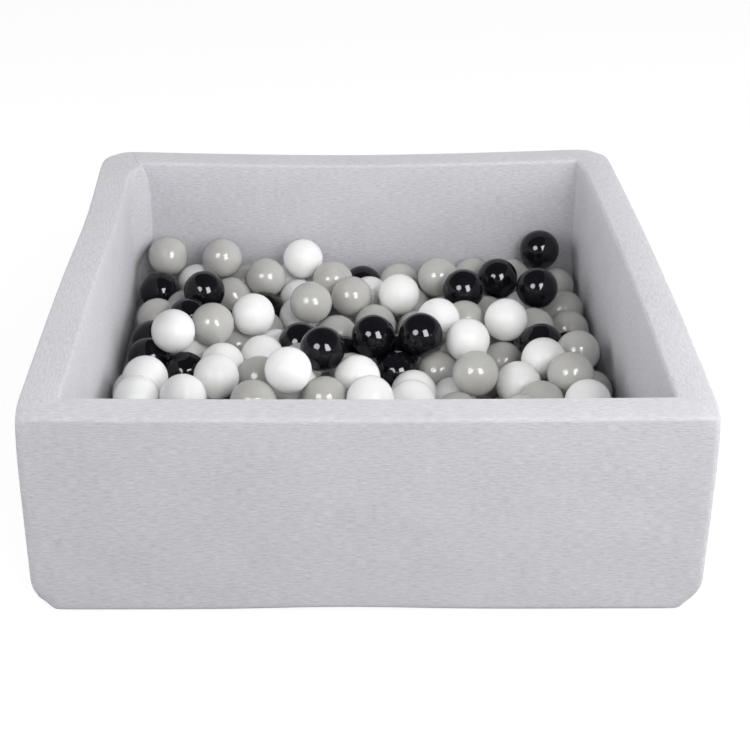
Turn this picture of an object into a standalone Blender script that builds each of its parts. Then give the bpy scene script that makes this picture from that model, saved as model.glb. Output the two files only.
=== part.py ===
# A square foam ball pit: four foam walls in one zipped jersey cover, a foam floor mat
# in its own zipped cover, and a bed of hollow plastic balls. Metres, +Z up.

import math

import bmesh
import bpy
import numpy as np
from mathutils.bvhtree import BVHTree

# Driving sizes of the pit.
PIT_SIDE = 0.900
PIT_HEIGHT = 0.300
FOAM_THICKNESS = 0.050
JERSEY = 0.0012
FIT_GAP = 0.0003

# Roundings drawn by the tension of the cover.
WALL_EDGE_RADIUS = 0.010
OUTER_CORNER_RADIUS = 0.020
INNER_CORNER_RADIUS = 0.001
CORNER_STEPS = 5
EDGE_STEPS = 3

# Floor mat.
MAT_SIDE_CLEARANCE = 0.0008
MAT_CORNER_RADIUS = 0.012
MAT_EDGE_RADIUS = 0.007

# Zips, seen from the slot upwards.
ZIP_SLOT_LENGTH = 0.640
ZIP_SLOT_WIDTH = 0.014
TAPE_OVERRUN = 0.010
TAPE_THICKNESS = 0.0006
TAPE_OUTER_REACH = 0.0138
TAPE_FOLD_OUT = 0.0075
TAPE_FOLD_IN = 0.0049
TAPE_PARTING = 0.0016
COIL_WIDTH = 0.0016
COIL_HEIGHT = 0.0016
SLIDER_LENGTH = 0.012
SLIDER_WIDTH = 0.0084
SLIDER_PLATE = 0.0009
SLIDER_POST_WIDTH = 0.0010
SLIDER_POST_LENGTH = 0.0035
SLIDER_CLEARANCE = 0.0003
STOP_LENGTH = 0.003
STOP_PLATE = 0.0006
STOP_WIDTH = 0.0064
LUG_THICKNESS = 0.0007
LUG_INNER_WIDTH = 0.0038
LUG_LENGTH = 0.0018
PIN_RADIUS = 0.00045
PIN_INSET = 0.0030
EYE_BORE_RADIUS = 0.00075
EYE_WALL = 0.0004
PULL_LENGTH = 0.022
PULL_WIDTH = 0.006
PULL_THICKNESS = 0.0008
PULL_SIDE_CLEARANCE = 0.0003
GROOVE_SIDE_CLEARANCE = 0.0012
GROOVE_TOP_CLEARANCE = 0.0010

# Balls.
BALL_DIAMETER = 0.070
LOOSE_GAP = 0.0006
PACKED_SINK = 0.0006
LINK_REACH = 0.0030
SEAT_GAP = 0.0003
SEAT_REACH = 0.060
SEAT_STEPS = 12
PACKED_REACH = 0.012
WALL_GAP = 0.0012
FRONT_FREE_COUNT = 15
BALL_SPLIT_STEPS = 2
FRONT_ROWS = 3
HIDDEN_ROW_SHARE = 0.92
FRONT_LEVEL_SHARE = 1.18
CROWDED_SHARE = 0.71
SETTLE_STEPS = 900
SINK_STEP = 0.0001
SIGHT_HOLD_SHARE = 0.25
HIDDEN_CROWDED_SHARE = 0.76
FILLED_SPACING_SHARE = 0.90
FILL_COLUMNS = 80

# The eye and the picture in which the places of the seen balls were read.
EYE = PIT_SIDE * np.array([-0.06222, -2.19333, 1.39556])
EYE_PITCH = math.radians(30.08)
EYE_YAW = math.radians(-0.18)
FOCAL_SHARE = 1.929
CENTRE_SHARE = (0.4384, 0.4957)

# Derived sizes.
WALL = FOAM_THICKNESS + 2 * (JERSEY + FIT_GAP)
INNER_HALF = PIT_SIDE / 2 - WALL
MAT_HALF = INNER_HALF - MAT_SIDE_CLEARANCE
MAT_TOP = WALL
LINING = JERSEY + FIT_GAP
BALL_RADIUS = BALL_DIAMETER / 2
BED_REACH = INNER_HALF - BALL_RADIUS - WALL_GAP
FRONT_COLUMNS = round(2 * BED_REACH / BALL_DIAMETER)
HIDDEN_COLUMNS = FRONT_COLUMNS + 1
HIDDEN_ROWS = 1 + round(2 * BED_REACH / (HIDDEN_ROW_SHARE * BALL_DIAMETER))

# Levels of the seen balls' centres above the mat, as shares of the diameter.
LEVEL_SHARES = {"floor": 0.50, "low": 0.60, "half": 0.90, "middle": 1.05, "upper": 1.20, "high": 1.35, "peak": 1.75}
WHITE, GREY, BLACK = "white", "grey", "black"
FREE, NESTED = True, False

# Colours of the free balls behind the front wall, and the colours that the balls out of sight take in turn.
FRONT_COLOURS = (WHITE, BLACK, GREY, GREY, BLACK, GREY, GREY, WHITE, WHITE, GREY, WHITE, WHITE, BLACK, WHITE, GREY)
HIDDEN_COLOURS = (WHITE, GREY, BLACK, WHITE, GREY)

# Seen balls: colour, share across and share down the picture, level, and whether it lies free on top.
seen_ball_shares = (
    (GREY, 0.226, 0.343, "upper", FREE),
    (GREY, 0.296, 0.344, "high", FREE),
    (WHITE, 0.262, 0.376, "floor", NESTED),
    (BLACK, 0.272, 0.389, "upper", FREE),
    (BLACK, 0.213, 0.389, "low", NESTED),
    (GREY, 0.209, 0.425, "floor", NESTED),
    (GREY, 0.249, 0.413, "floor", NESTED),
    (BLACK, 0.253, 0.424, "half", NESTED),
    (WHITE, 0.231, 0.442, "high", FREE),
    (GREY, 0.283, 0.432, "high", NESTED),
    (GREY, 0.309, 0.395, "low", NESTED),
    (WHITE, 0.335, 0.421, "high", FREE),
    (BLACK, 0.203, 0.455, "floor", NESTED),
    (BLACK, 0.197, 0.478, "low", NESTED),
    (WHITE, 0.193, 0.503, "middle", NESTED),
    (WHITE, 0.184, 0.534, "middle", NESTED),
    (WHITE, 0.243, 0.532, "upper", FREE),
    (BLACK, 0.246, 0.498, "floor", NESTED),
    (WHITE, 0.253, 0.469, "floor", NESTED),
    (WHITE, 0.300, 0.486, "middle", NESTED),
    (WHITE, 0.288, 0.505, "upper", FREE),
    (GREY, 0.317, 0.464, "floor", NESTED),
    (WHITE, 0.352, 0.475, "middle", NESTED),
    (GREY, 0.347, 0.503, "middle", NESTED),
    (GREY, 0.339, 0.537, "upper", NESTED),
    (WHITE, 0.381, 0.501, "peak", FREE),
    (WHITE, 0.397, 0.517, "middle", NESTED),
    (BLACK, 0.398, 0.459, "middle", FREE),
    (GREY, 0.404, 0.485, "middle", NESTED),
    (BLACK, 0.433, 0.469, "peak", FREE),
    (BLACK, 0.459, 0.476, "floor", NESTED),
    (GREY, 0.450, 0.447, "floor", NESTED),
    (WHITE, 0.399, 0.422, "low", NESTED),
    (WHITE, 0.400, 0.397, "low", NESTED),
    (GREY, 0.415, 0.404, "high", FREE),
    (GREY, 0.442, 0.375, "half", NESTED),
    (GREY, 0.468, 0.395, "middle", NESTED),
    (WHITE, 0.404, 0.345, "upper", FREE),
    (GREY, 0.355, 0.375, "half", NESTED),
    (BLACK, 0.355, 0.414, "floor", NESTED),
    (GREY, 0.351, 0.444, "floor", NESTED),
    (WHITE, 0.491, 0.395, "low", NESTED),
    (GREY, 0.500, 0.432, "low", NESTED),
    (WHITE, 0.531, 0.395, "upper", FREE),
    (GREY, 0.533, 0.377, "low", NESTED),
    (GREY, 0.587, 0.376, "middle", FREE),
    (GREY, 0.549, 0.411, "floor", NESTED),
    (GREY, 0.593, 0.415, "floor", NESTED),
    (WHITE, 0.584, 0.425, "high", NESTED),
    (BLACK, 0.617, 0.389, "high", FREE),
    (GREY, 0.556, 0.443, "floor", NESTED),
    (BLACK, 0.499, 0.450, "upper", FREE),
    (BLACK, 0.561, 0.447, "high", FREE),
    (BLACK, 0.529, 0.473, "floor", NESTED),
    (BLACK, 0.531, 0.495, "low", NESTED),
    (WHITE, 0.475, 0.503, "upper", NESTED),
    (WHITE, 0.489, 0.535, "upper", FREE),
    (WHITE, 0.545, 0.526, "low", NESTED),
    (WHITE, 0.547, 0.539, "half", NESTED),
    (GREY, 0.588, 0.497, "floor", NESTED),
    (BLACK, 0.662, 0.373, "middle", FREE),
    (BLACK, 0.719, 0.333, "high", FREE),
    (BLACK, 0.716, 0.384, "high", FREE),
    (GREY, 0.679, 0.370, "low", NESTED),
    (GREY, 0.742, 0.383, "floor", NESTED),
    (GREY, 0.751, 0.414, "floor", NESTED),
    (GREY, 0.649, 0.421, "floor", NESTED),
    (GREY, 0.619, 0.429, "half", NESTED),
    (WHITE, 0.677, 0.428, "high", FREE),
    (WHITE, 0.695, 0.413, "floor", NESTED),
    (GREY, 0.708, 0.437, "half", NESTED),
    (WHITE, 0.624, 0.455, "upper", FREE),
    (GREY, 0.633, 0.502, "high", FREE),
    (WHITE, 0.601, 0.530, "floor", NESTED),
    (GREY, 0.615, 0.553, "low", NESTED),
    (GREY, 0.669, 0.483, "floor", NESTED),
    (WHITE, 0.692, 0.512, "middle", NESTED),
    (WHITE, 0.725, 0.480, "upper", FREE),
    (BLACK, 0.720, 0.459, "middle", NESTED),
    (GREY, 0.759, 0.442, "floor", NESTED),
    (GREY, 0.769, 0.469, "upper", NESTED),
    (GREY, 0.761, 0.500, "high", FREE),
    (GREY, 0.787, 0.523, "floor", NESTED),
    (WHITE, 0.785, 0.541, "middle", NESTED),
    (GREY, 0.727, 0.540, "middle", NESTED),
    (GREY, 0.433, 0.536, "high", NESTED),
)


def new_material(name, colour, roughness, metallic=0.0):
    made = bpy.data.materials.new(name)
    made.use_nodes = True
    shader = made.node_tree.nodes["Principled BSDF"]
    shader.inputs["Base Color"].default_value = (*colour, 1.0)
    shader.inputs["Roughness"].default_value = roughness
    shader.inputs["Metallic"].default_value = metallic
    made.diffuse_color = (*colour, 1.0)
    return made


def clear_scene():
    for item in list(bpy.data.objects):
        bpy.data.objects.remove(item, do_unlink=True)


def signed_volume(points, faces):
    total = 0.0
    for face in faces:
        corners = points[list(face)]
        first = corners[0]
        for second, third in zip(corners[1:-1], corners[2:]):
            total += np.dot(first, np.cross(second, third))
    return total / 6


def turned_out(points, faces):
    if signed_volume(points, faces) < 0:
        return [tuple(reversed(face)) for face in faces]
    return faces


def joined(shapes):
    """Several (points, faces) shapes as one list of points and faces."""
    all_points, all_faces, start = [], [], 0
    for points, faces in shapes:
        all_points.append(points)
        all_faces += [tuple(start + i for i in face) for face in faces]
        start += len(points)
    return np.vstack(all_points), all_faces


def new_object(name, shape, material, origin=(0, 0, 0), parent=None):
    points, faces = shape
    origin = np.asarray(origin, float)
    mesh = bpy.data.meshes.new(name)
    mesh.from_pydata((points - origin).tolist(), [], faces)
    mesh.materials.append(material)
    made = bpy.data.objects.new(name, mesh)
    bpy.context.scene.collection.objects.link(made)
    made.location = origin
    if parent:
        bpy.context.view_layer.update()
        made.parent = parent
        made.location = origin - np.array(parent.matrix_world.translation)
    return made


def helper(made):
    made.hide_render = True
    made.display_type = "WIRE"
    return made


def boolean(target, other, operation, own_overlaps=False):
    modifier = target.modifiers.new(operation.lower(), "BOOLEAN")
    modifier.operation = operation
    modifier.solver = "EXACT"
    modifier.use_self = own_overlaps
    modifier.object = helper(other)


def box(x, y, z):
    """A box between the (low, high) pairs x, y and z."""
    points = np.array([(a, b, c) for a in x for b in y for c in z], float)
    faces = [(0, 1, 3, 2), (4, 6, 7, 5), (0, 4, 5, 1), (2, 3, 7, 6), (0, 2, 6, 4), (1, 5, 7, 3)]
    return points, turned_out(points, faces)


def rounded_rectangle(x, y, radius, steps):
    """Plan outline between the (low, high) pairs x and y, counter-clockwise."""
    turns = np.radians(np.linspace(0, 90, steps + 1))
    outline = []
    corners = ((x[1], y[1], 0), (x[0], y[1], 90), (x[0], y[0], 180), (x[1], y[0], 270))
    for corner_x, corner_y, start in corners:
        centre_x = corner_x - math.copysign(radius, corner_x - sum(x) / 2)
        centre_y = corner_y - math.copysign(radius, corner_y - sum(y) / 2)
        for turn in turns + math.radians(start):
            outline.append((centre_x + radius * math.cos(turn), centre_y + radius * math.sin(turn)))
    return np.array(outline)


def inset(outline, amount):
    """The outline with every side moved inwards by the amount."""
    along = np.roll(outline, -1, axis=0) - outline
    along /= np.linalg.norm(along, axis=1)[:, None]
    inward = np.stack([-along[:, 1], along[:, 0]], axis=1)
    before = np.roll(inward, 1, axis=0)
    middle = inward + before
    shift = middle / (1 + (inward * before).sum(axis=1))[:, None]
    return outline + amount * shift


def ring_faces(rings, count, closed):
    last = rings if closed else rings - 1
    faces = []
    for ring in range(last):
        above = (ring + 1) % rings
        for i in range(count):
            j = (i + 1) % count
            faces.append((ring * count + i, ring * count + j, above * count + j, above * count + i))
    return faces


def stacked(rings, closed=False):
    """Rings of (outline, height) joined in order, capped unless closed on themselves."""
    count = len(rings[0][0])
    points = np.vstack([np.column_stack([plan, np.full(count, z)]) for plan, z in rings])
    faces = ring_faces(len(rings), count, closed)
    if not closed:
        faces.append(tuple(range(count)))
        faces.append(tuple(len(points) - count + i for i in range(count)))
        faces[-2] = tuple(reversed(faces[-2]))
    return points, turned_out(points, faces)


def quarter(radius, steps):
    """Inset and rise along a rounded edge, from the flat face to the side."""
    turns = np.radians(np.linspace(0, 90, steps + 1))
    return [(radius * (1 - math.sin(t)), radius * (1 - math.cos(t))) for t in turns]


def padded_block(outline, low, high, radius):
    """A block on the outline with its lower and upper edges rounded."""
    edge = quarter(radius, EDGE_STEPS)
    rings = [(inset(outline, step), low + rise) for step, rise in edge]
    rings += [(inset(outline, step), high - rise) for step, rise in reversed(edge)]
    return stacked(rings)


def wall_skin(depth):
    """The closed band round the four walls, moved inwards by the depth."""
    outer_half = PIT_SIDE / 2
    outer = rounded_rectangle((-outer_half, outer_half), (-outer_half, outer_half),
                              OUTER_CORNER_RADIUS, CORNER_STEPS)
    inner = rounded_rectangle((-INNER_HALF, INNER_HALF), (-INNER_HALF, INNER_HALF),
                              INNER_CORNER_RADIUS, CORNER_STEPS)
    edge = quarter(WALL_EDGE_RADIUS - depth, EDGE_STEPS)
    low, high = depth, PIT_HEIGHT - depth
    rings = [(inset(outer, depth + step), low + rise) for step, rise in edge]
    rings += [(inset(outer, depth + step), high - rise) for step, rise in reversed(edge)]
    rings += [(inset(inner, -depth - step), high - rise) for step, rise in edge]
    rings += [(inset(inner, -depth - step), low + rise) for step, rise in reversed(edge)]
    return stacked(rings, closed=True)


def hollow(outer, inner):
    """A skin: the outer shape with the inner one facing into it."""
    points, faces = inner
    return joined([outer, (points, [tuple(reversed(face)) for face in faces])])


def extruded(profile, x):
    """A (y, z) outline drawn along x between the low and high ends."""
    count = len(profile)
    points = np.array([(end, y, z) for end in x for y, z in profile], float)
    faces = [(i, (i + 1) % count, count + (i + 1) % count, count + i) for i in range(count)]
    faces.append(tuple(reversed(range(count))))
    faces.append(tuple(count + i for i in range(count)))
    return points, turned_out(points, faces)


def zip_levels():
    """Heights of the zip's layers above the ground, from the cover's skin upwards."""
    margin_low = LINING
    margin_high = margin_low + TAPE_THICKNESS
    pin = PULL_THICKNESS + EYE_BORE_RADIUS + FIT_GAP
    plate_low = pin + EYE_BORE_RADIUS + EYE_WALL + FIT_GAP
    plate_high = plate_low + SLIDER_PLATE
    coil_low = plate_high + SLIDER_CLEARANCE
    coil_high = coil_low + COIL_HEIGHT
    cap_low = coil_high + SLIDER_CLEARANCE
    cap_high = cap_low + SLIDER_PLATE
    return {
        "margin": (margin_low, margin_high),
        "pin": pin,
        "lower_plate": (plate_low, plate_high),
        "coil": (coil_low, coil_high),
        "upper_plate": (cap_low, cap_high),
        "groove_top": cap_high + GROOVE_TOP_CLEARANCE,
    }


def tape_profile(side, centre_y, levels):
    """Half of the zip: a sewn margin, a fold up and a thicker coil at the parting."""
    low, high = levels["margin"]
    coil_low, coil_high = levels["coil"]
    middle = (coil_low + coil_high) / 2
    flat_low, flat_high = middle - TAPE_THICKNESS / 2, middle + TAPE_THICKNESS / 2
    parting = TAPE_PARTING / 2
    coil_end = parting + COIL_WIDTH
    chamfer = COIL_HEIGHT / 4
    half = [
        (TAPE_OUTER_REACH, low),
        (TAPE_OUTER_REACH, high),
        (TAPE_FOLD_OUT, high),
        (TAPE_FOLD_IN, flat_high),
        (coil_end, flat_high),
        (coil_end, coil_high - chamfer),
        (coil_end - chamfer, coil_high),
        (parting + chamfer, coil_high),
        (parting, coil_high - chamfer),
        (parting, coil_low + chamfer),
        (parting + chamfer, coil_low),
        (coil_end - chamfer, coil_low),
        (coil_end, coil_low + chamfer),
        (coil_end, flat_low),
        (TAPE_FOLD_IN - TAPE_THICKNESS / 2, flat_low),
        (TAPE_FOLD_OUT - TAPE_THICKNESS / 2, low),
    ]
    return [(centre_y + side * y, z) for y, z in half]


def disc(centre, radius, count, y):
    """A round bar along y between the low and high ends of y."""
    x, z = centre
    turns = 2 * math.pi * (np.arange(count) + 0.5) / count
    points = np.array([(x + radius * math.cos(t), end, z + radius * math.sin(t))
                       for end in y for t in turns])
    faces = [(i, (i + 1) % count, count + (i + 1) % count, count + i) for i in range(count)]
    faces.append(tuple(reversed(range(count))))
    faces.append(tuple(count + i for i in range(count)))
    return points, turned_out(points, faces)


def fused(name, shapes, material, origin, parent=None):
    """One body from overlapping shapes."""
    made = new_object(name, shapes[0], material, origin, parent)
    rest = new_object(name + "_rest", joined(shapes[1:]), material, origin)
    boolean(made, rest, "UNION", own_overlaps=True)
    return made


def pull_shape(pin_x, pin_z, centre_y):
    """The pull tab with its eye round the slider's pin, as one drawn outline along y."""
    half_eye = LUG_INNER_WIDTH / 2 - PULL_SIDE_CLEARANCE
    outer = EYE_BORE_RADIUS + EYE_WALL
    count = 16
    turns = 2 * math.pi * np.arange(count) / count
    ring = []
    for end in (centre_y - half_eye, centre_y + half_eye):
        for radius in (outer, EYE_BORE_RADIUS):
            ring += [(pin_x + radius * math.cos(t), end, pin_z + radius * math.sin(t)) for t in turns]
    faces = []
    for i in range(count):
        j = (i + 1) % count
        low_out, low_in, high_out, high_in = 0, count, 2 * count, 3 * count
        faces.append((low_out + i, low_out + j, high_out + j, high_out + i))
        faces.append((low_in + i, high_in + i, high_in + j, low_in + j))
        faces.append((low_out + i, low_in + i, low_in + j, low_out + j))
        faces.append((high_out + i, high_out + j, high_in + j, high_in + i))
    eye = np.array(ring), faces
    eye = eye[0], turned_out(*eye)
    low = pin_z - outer
    neck_start = pin_x + EYE_BORE_RADIUS + EYE_WALL / 4
    neck = box((neck_start, pin_x + 2 * LUG_LENGTH), (centre_y - half_eye, centre_y + half_eye),
               (low + EYE_WALL / 2, low + EYE_WALL / 2 + PULL_THICKNESS))
    half_tab = PULL_WIDTH / 2
    tab_x = pin_x + 2 * LUG_LENGTH - EYE_WALL, pin_x + PULL_LENGTH
    outline = rounded_rectangle(tab_x, (centre_y - half_tab, centre_y + half_tab),
                                PULL_WIDTH / 4, 3)
    tab = stacked([(outline, low + EYE_WALL / 2 + FIT_GAP / 4),
                   (outline, low + EYE_WALL / 2 + PULL_THICKNESS - FIT_GAP / 4)])
    return [eye, neck, tab]


def build_zip(label, centre_y, materials):
    """Tapes, end stop, slider and pull of one zip that runs along x under a cover."""
    levels = zip_levels()
    half_length = ZIP_SLOT_LENGTH / 2
    tape_x = -half_length - TAPE_OVERRUN, half_length + TAPE_OVERRUN
    for side, word in ((-1, "front"), (1, "back")):
        profile = tape_profile(side, centre_y, levels)
        new_object(label + "_zip_tape_" + word, extruded(profile, tape_x), materials["tape"])

    coil_low, coil_high = levels["coil"]
    half_post = SLIDER_POST_WIDTH / 2
    stop_x = half_length - STOP_LENGTH, half_length
    half_stop = STOP_WIDTH / 2
    stop_y = centre_y - half_stop, centre_y + half_stop
    under = coil_low - SLIDER_CLEARANCE
    over = coil_high + SLIDER_CLEARANCE
    stop = [
        box(stop_x, stop_y, (under - STOP_PLATE, under)),
        box(stop_x, stop_y, (over, over + STOP_PLATE)),
        box((stop_x[0] + FIT_GAP, stop_x[1] - FIT_GAP), (centre_y - half_post, centre_y + half_post),
            (under - STOP_PLATE / 2, over + STOP_PLATE / 2)),
    ]
    fused(label + "_zip_end_stop", stop, materials["metal"], (0, 0, 0))

    nose = -half_length + SLIDER_CLEARANCE
    slider_x = nose, nose + SLIDER_LENGTH
    half_slider = SLIDER_WIDTH / 2
    slider_y = centre_y - half_slider, centre_y + half_slider
    lower, upper = levels["lower_plate"], levels["upper_plate"]
    pin_x, pin_z = slider_x[1] - PIN_INSET, levels["pin"]
    slider = [
        box(slider_x, slider_y, lower),
        box(slider_x, slider_y, upper),
        box((nose + SLIDER_CLEARANCE, nose + SLIDER_POST_LENGTH),
            (centre_y - half_post, centre_y + half_post),
            (lower[1] - SLIDER_PLATE / 2, upper[0] + SLIDER_PLATE / 2)),
    ]
    lug_low = pin_z - PIN_RADIUS - LUG_THICKNESS / 4
    inner = LUG_INNER_WIDTH / 2
    for side in (-1, 1):
        lug_y = sorted((centre_y + side * inner, centre_y + side * (inner + LUG_THICKNESS)))
        slider.append(box((pin_x - LUG_LENGTH / 2, pin_x + LUG_LENGTH / 2), lug_y,
                          (lug_low, lower[0] + SLIDER_PLATE / 2)))
    slider.append(disc((pin_x, pin_z), PIN_RADIUS, 8,
                       (centre_y - inner - LUG_THICKNESS / 2, centre_y + inner + LUG_THICKNESS / 2)))
    body = fused(label + "_zip_slider", slider, materials["metal"], (pin_x, centre_y, pin_z))
    fused(label + "_zip_pull", pull_shape(pin_x, pin_z, centre_y), materials["metal"],
          (pin_x, centre_y, pin_z), parent=body)


def cut_zip_slot(cover, centre_y):
    half = ZIP_SLOT_LENGTH / 2
    half_width = ZIP_SLOT_WIDTH / 2
    slot = box((-half, half), (centre_y - half_width, centre_y + half_width), (-JERSEY, 2 * JERSEY))
    boolean(cover, new_object(cover.name + "_slot_cutter", slot, cover.data.materials[0]), "DIFFERENCE")


def cut_zip_groove(foam, centre_y):
    half = ZIP_SLOT_LENGTH / 2 + TAPE_OVERRUN + GROOVE_SIDE_CLEARANCE
    half_width = TAPE_OUTER_REACH + GROOVE_SIDE_CLEARANCE
    groove = box((-half, half), (centre_y - half_width, centre_y + half_width),
                 (-JERSEY, zip_levels()["groove_top"]))
    boolean(foam, new_object(foam.name + "_groove_cutter", groove, foam.data.materials[0]), "DIFFERENCE")


def build_walls(materials):
    """Four foam blocks butted in a square, in one jersey cover with a zip underneath."""
    outer = PIT_SIDE / 2 - LINING
    inner = outer - FOAM_THICKNESS
    low, high = LINING, PIT_HEIGHT - LINING
    radius = WALL_EDGE_RADIUS - LINING
    corner = OUTER_CORNER_RADIUS - LINING
    whole = rounded_rectangle((-outer, outer), (-outer, outer), corner, CORNER_STEPS)
    lengthwise = rounded_rectangle((-outer, outer), (inner, outer), corner, CORNER_STEPS)
    half_turn = 2 * (CORNER_STEPS + 1)
    back = np.vstack([lengthwise[:half_turn], [(-outer, inner), (outer, inner)]])
    front = -back
    side_end = inner - FIT_GAP
    side = np.array([(inner, -side_end), (outer, -side_end), (outer, side_end), (inner, side_end)])
    outlines = {"foam_back": back, "foam_front": front, "foam_right": side, "foam_left": -side}
    blocks = {}
    for name, outline in outlines.items():
        blocks[name] = new_object(name, padded_block(outline, low, high, radius), materials["foam"])
    cover = new_object("wall_cover", hollow(wall_skin(0.0), wall_skin(JERSEY)), materials["jersey"])
    zip_y = PIT_SIDE / 2 - WALL / 2
    cut_zip_slot(cover, zip_y)
    cut_zip_groove(blocks["foam_back"], zip_y)
    build_zip("wall", zip_y, materials)
    return whole


def build_mat(materials):
    """The floor mat: a foam slab in a zipped cover, loose between the walls."""
    def slab(depth):
        half = MAT_HALF - depth
        outline = rounded_rectangle((-half, half), (-half, half), MAT_CORNER_RADIUS - depth, CORNER_STEPS)
        return padded_block(outline, depth, MAT_TOP - depth, MAT_EDGE_RADIUS - depth)

    foam = new_object("mat_foam", slab(LINING), materials["foam"])
    cover = new_object("mat_cover", hollow(slab(0.0), slab(JERSEY)), materials["jersey"])
    zip_y = MAT_HALF - WALL / 2
    cut_zip_slot(cover, zip_y)
    cut_zip_groove(foam, zip_y)
    build_zip("mat", zip_y, materials)


def sight_lines(shares):
    """Directions from the eye through places in the picture."""
    across = (shares[:, 0] - CENTRE_SHARE[0]) / FOCAL_SHARE
    up = (CENTRE_SHARE[1] - shares[:, 1]) / FOCAL_SHARE
    ahead = math.cos(EYE_PITCH) + up * math.sin(EYE_PITCH)
    rise = up * math.cos(EYE_PITCH) - math.sin(EYE_PITCH)
    turn_cos, turn_sin = math.cos(EYE_YAW), math.sin(EYE_YAW)
    lines = np.stack([turn_cos * across - turn_sin * ahead, turn_sin * across + turn_cos * ahead, rise], axis=1)
    return lines / np.linalg.norm(lines, axis=1)[:, None]


def plan_grid(columns, rows, y, height):
    """Staggered places over the floor between the (low, high) pair y."""
    places = []
    for row in range(rows):
        for column in range(columns):
            x = -BED_REACH + (column + 0.5 * (row % 2)) * 2 * BED_REACH / (columns - 0.5)
            places.append((x, y[0] + row * (y[1] - y[0]) / (rows - 1), height))
    return np.array(places)


def far_from(places, others, least):
    gaps = np.linalg.norm(places[:, None] - others[None], axis=2).min(axis=1)
    return places[gaps > least]


def settled(places, sight, loose, rounds, weight, hold):
    """Pushes balls apart, lets them sink, keeps seen ones on their sight lines and clears the way up."""
    places = places.copy()
    count, seen = len(places), len(sight)
    near_loose = loose[:, None] | loose[None, :]
    spacing = np.where(near_loose, BALL_DIAMETER + LOOSE_GAP, BALL_DIAMETER - PACKED_SINK)
    low = np.array([-INNER_HALF, -INNER_HALF, MAT_TOP]) + BALL_RADIUS + WALL_GAP
    low[2] -= WALL_GAP - LOOSE_GAP
    high = np.array([INNER_HALF - BALL_RADIUS - WALL_GAP] * 2 + [PIT_HEIGHT])
    own = np.eye(count) * PIT_SIDE
    both_packed = ~near_loose
    for step in range(rounds):
        ease = max(0.0, 1 - 1.15 * step / rounds)
        between = places[:, None] - places[None]
        distance = np.sqrt((between**2).sum(axis=2)) + own
        push = np.clip(spacing - distance, 0, None)
        reach = spacing + PACKED_REACH
        pull = np.where(both_packed & (distance < reach), np.clip(distance - spacing, 0, None), 0) * 0.25 * ease
        move = (((push - pull) / distance)[:, :, None] * between).sum(axis=1) * 0.45
        plan = np.sqrt((between[:, :, :2]**2).sum(axis=2)) + own
        plan = np.maximum(plan, LOOSE_GAP)
        rise = between[:, :, 2]
        blocks = (loose[:, None] & (rise < 0)) | (loose[None] & (rise > 0))
        blocks &= (np.abs(rise) < BALL_DIAMETER) & (plan > CROWDED_SHARE * BALL_DIAMETER)
        shove = np.where(blocks, np.clip(spacing - plan, 0, None), 0) / plan
        move[:, :2] += (shove[:, :, None] * between[:, :, :2]).sum(axis=1) * 0.3
        move += np.clip(low - places, 0, None) * 0.6 - np.clip(places - high, 0, None) * 0.6
        move[:, 2] -= weight * ease
        offset = places[:seen] - EYE
        on_line = (offset * sight).sum(axis=1)[:, None] * sight
        move[:seen] += (on_line - offset) * hold * ease
        places += move * 0.5
    places[:, :2] = np.clip(places[:, :2], low[:2], high[:2])
    places[:, 2] = np.maximum(places[:, 2], low[2])
    return places


def filled_floor(places):
    """The places with a floor ball added wherever one more fits, the roomiest hole first."""
    spots = plan_grid(FILL_COLUMNS, FILL_COLUMNS, (-BED_REACH, BED_REACH), MAT_TOP + BALL_RADIUS)
    room = np.linalg.norm(spots[:, None] - places[None], axis=2).min(axis=1)
    while room.max() > FILLED_SPACING_SHARE * BALL_DIAMETER:
        spot = spots[np.argmax(room)]
        places = np.vstack([places, spot])
        room = np.minimum(room, np.linalg.norm(spots - spot, axis=1))
    return places


def way_up(places):
    """How far each ball is clear, in plan, of every ball above it."""
    between = places[:, None] - places[None]
    plan = np.sqrt((between[:, :, :2]**2).sum(axis=2))
    above = between[:, :, 2] < 0
    return np.where(above, plan - BALL_DIAMETER, PIT_SIDE).min(axis=1)


def ball_places():
    """Centres and colours of every ball, and which of them lie free on top."""
    shares = np.array([row[1:3] for row in seen_ball_shares])
    levels = np.array([LEVEL_SHARES[row[3]] for row in seen_ball_shares]) * BALL_DIAMETER + MAT_TOP
    sight = sight_lines(shares)
    seen = EYE + ((levels - EYE[2]) / sight[:, 2])[:, None] * sight
    seen[:, :2] = np.clip(seen[:, :2], -BED_REACH, BED_REACH)
    front = plan_grid(FRONT_COLUMNS, FRONT_ROWS, (-BED_REACH, -BED_REACH + 2 * BALL_DIAMETER),
                      MAT_TOP + FRONT_LEVEL_SHARE * BALL_DIAMETER)
    front = far_from(front, seen, CROWDED_SHARE * BALL_DIAMETER)
    floor = plan_grid(HIDDEN_COLUMNS, HIDDEN_ROWS, (-BED_REACH, BED_REACH), MAT_TOP + BALL_RADIUS)
    floor = far_from(floor, seen, HIDDEN_CROWDED_SHARE * BALL_DIAMETER)
    places = np.vstack([seen, front, floor])
    places = settled(places, sight, np.zeros(len(places), bool), SETTLE_STEPS, SINK_STEP, SIGHT_HOLD_SHARE)
    places = filled_floor(places)
    colours = [row[0] for row in seen_ball_shares]
    colours += [HIDDEN_COLOURS[(7 * i) % len(HIDDEN_COLOURS)] for i in range(len(places) - len(seen))]
    free = np.zeros(len(places), bool)
    free[:len(seen)] = [row[4] for row in seen_ball_shares]
    clear = way_up(places)[len(seen):len(seen) + len(front)]
    clearest = len(seen) + np.sort(np.argsort(-clear)[:FRONT_FREE_COUNT])
    free[clearest] = True
    for i, colour in zip(clearest, FRONT_COLOURS):
        colours[i] = colour
    places = settled(places, sight, free, SETTLE_STEPS, SINK_STEP / 2, SIGHT_HOLD_SHARE)
    return places, colours, free


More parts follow.
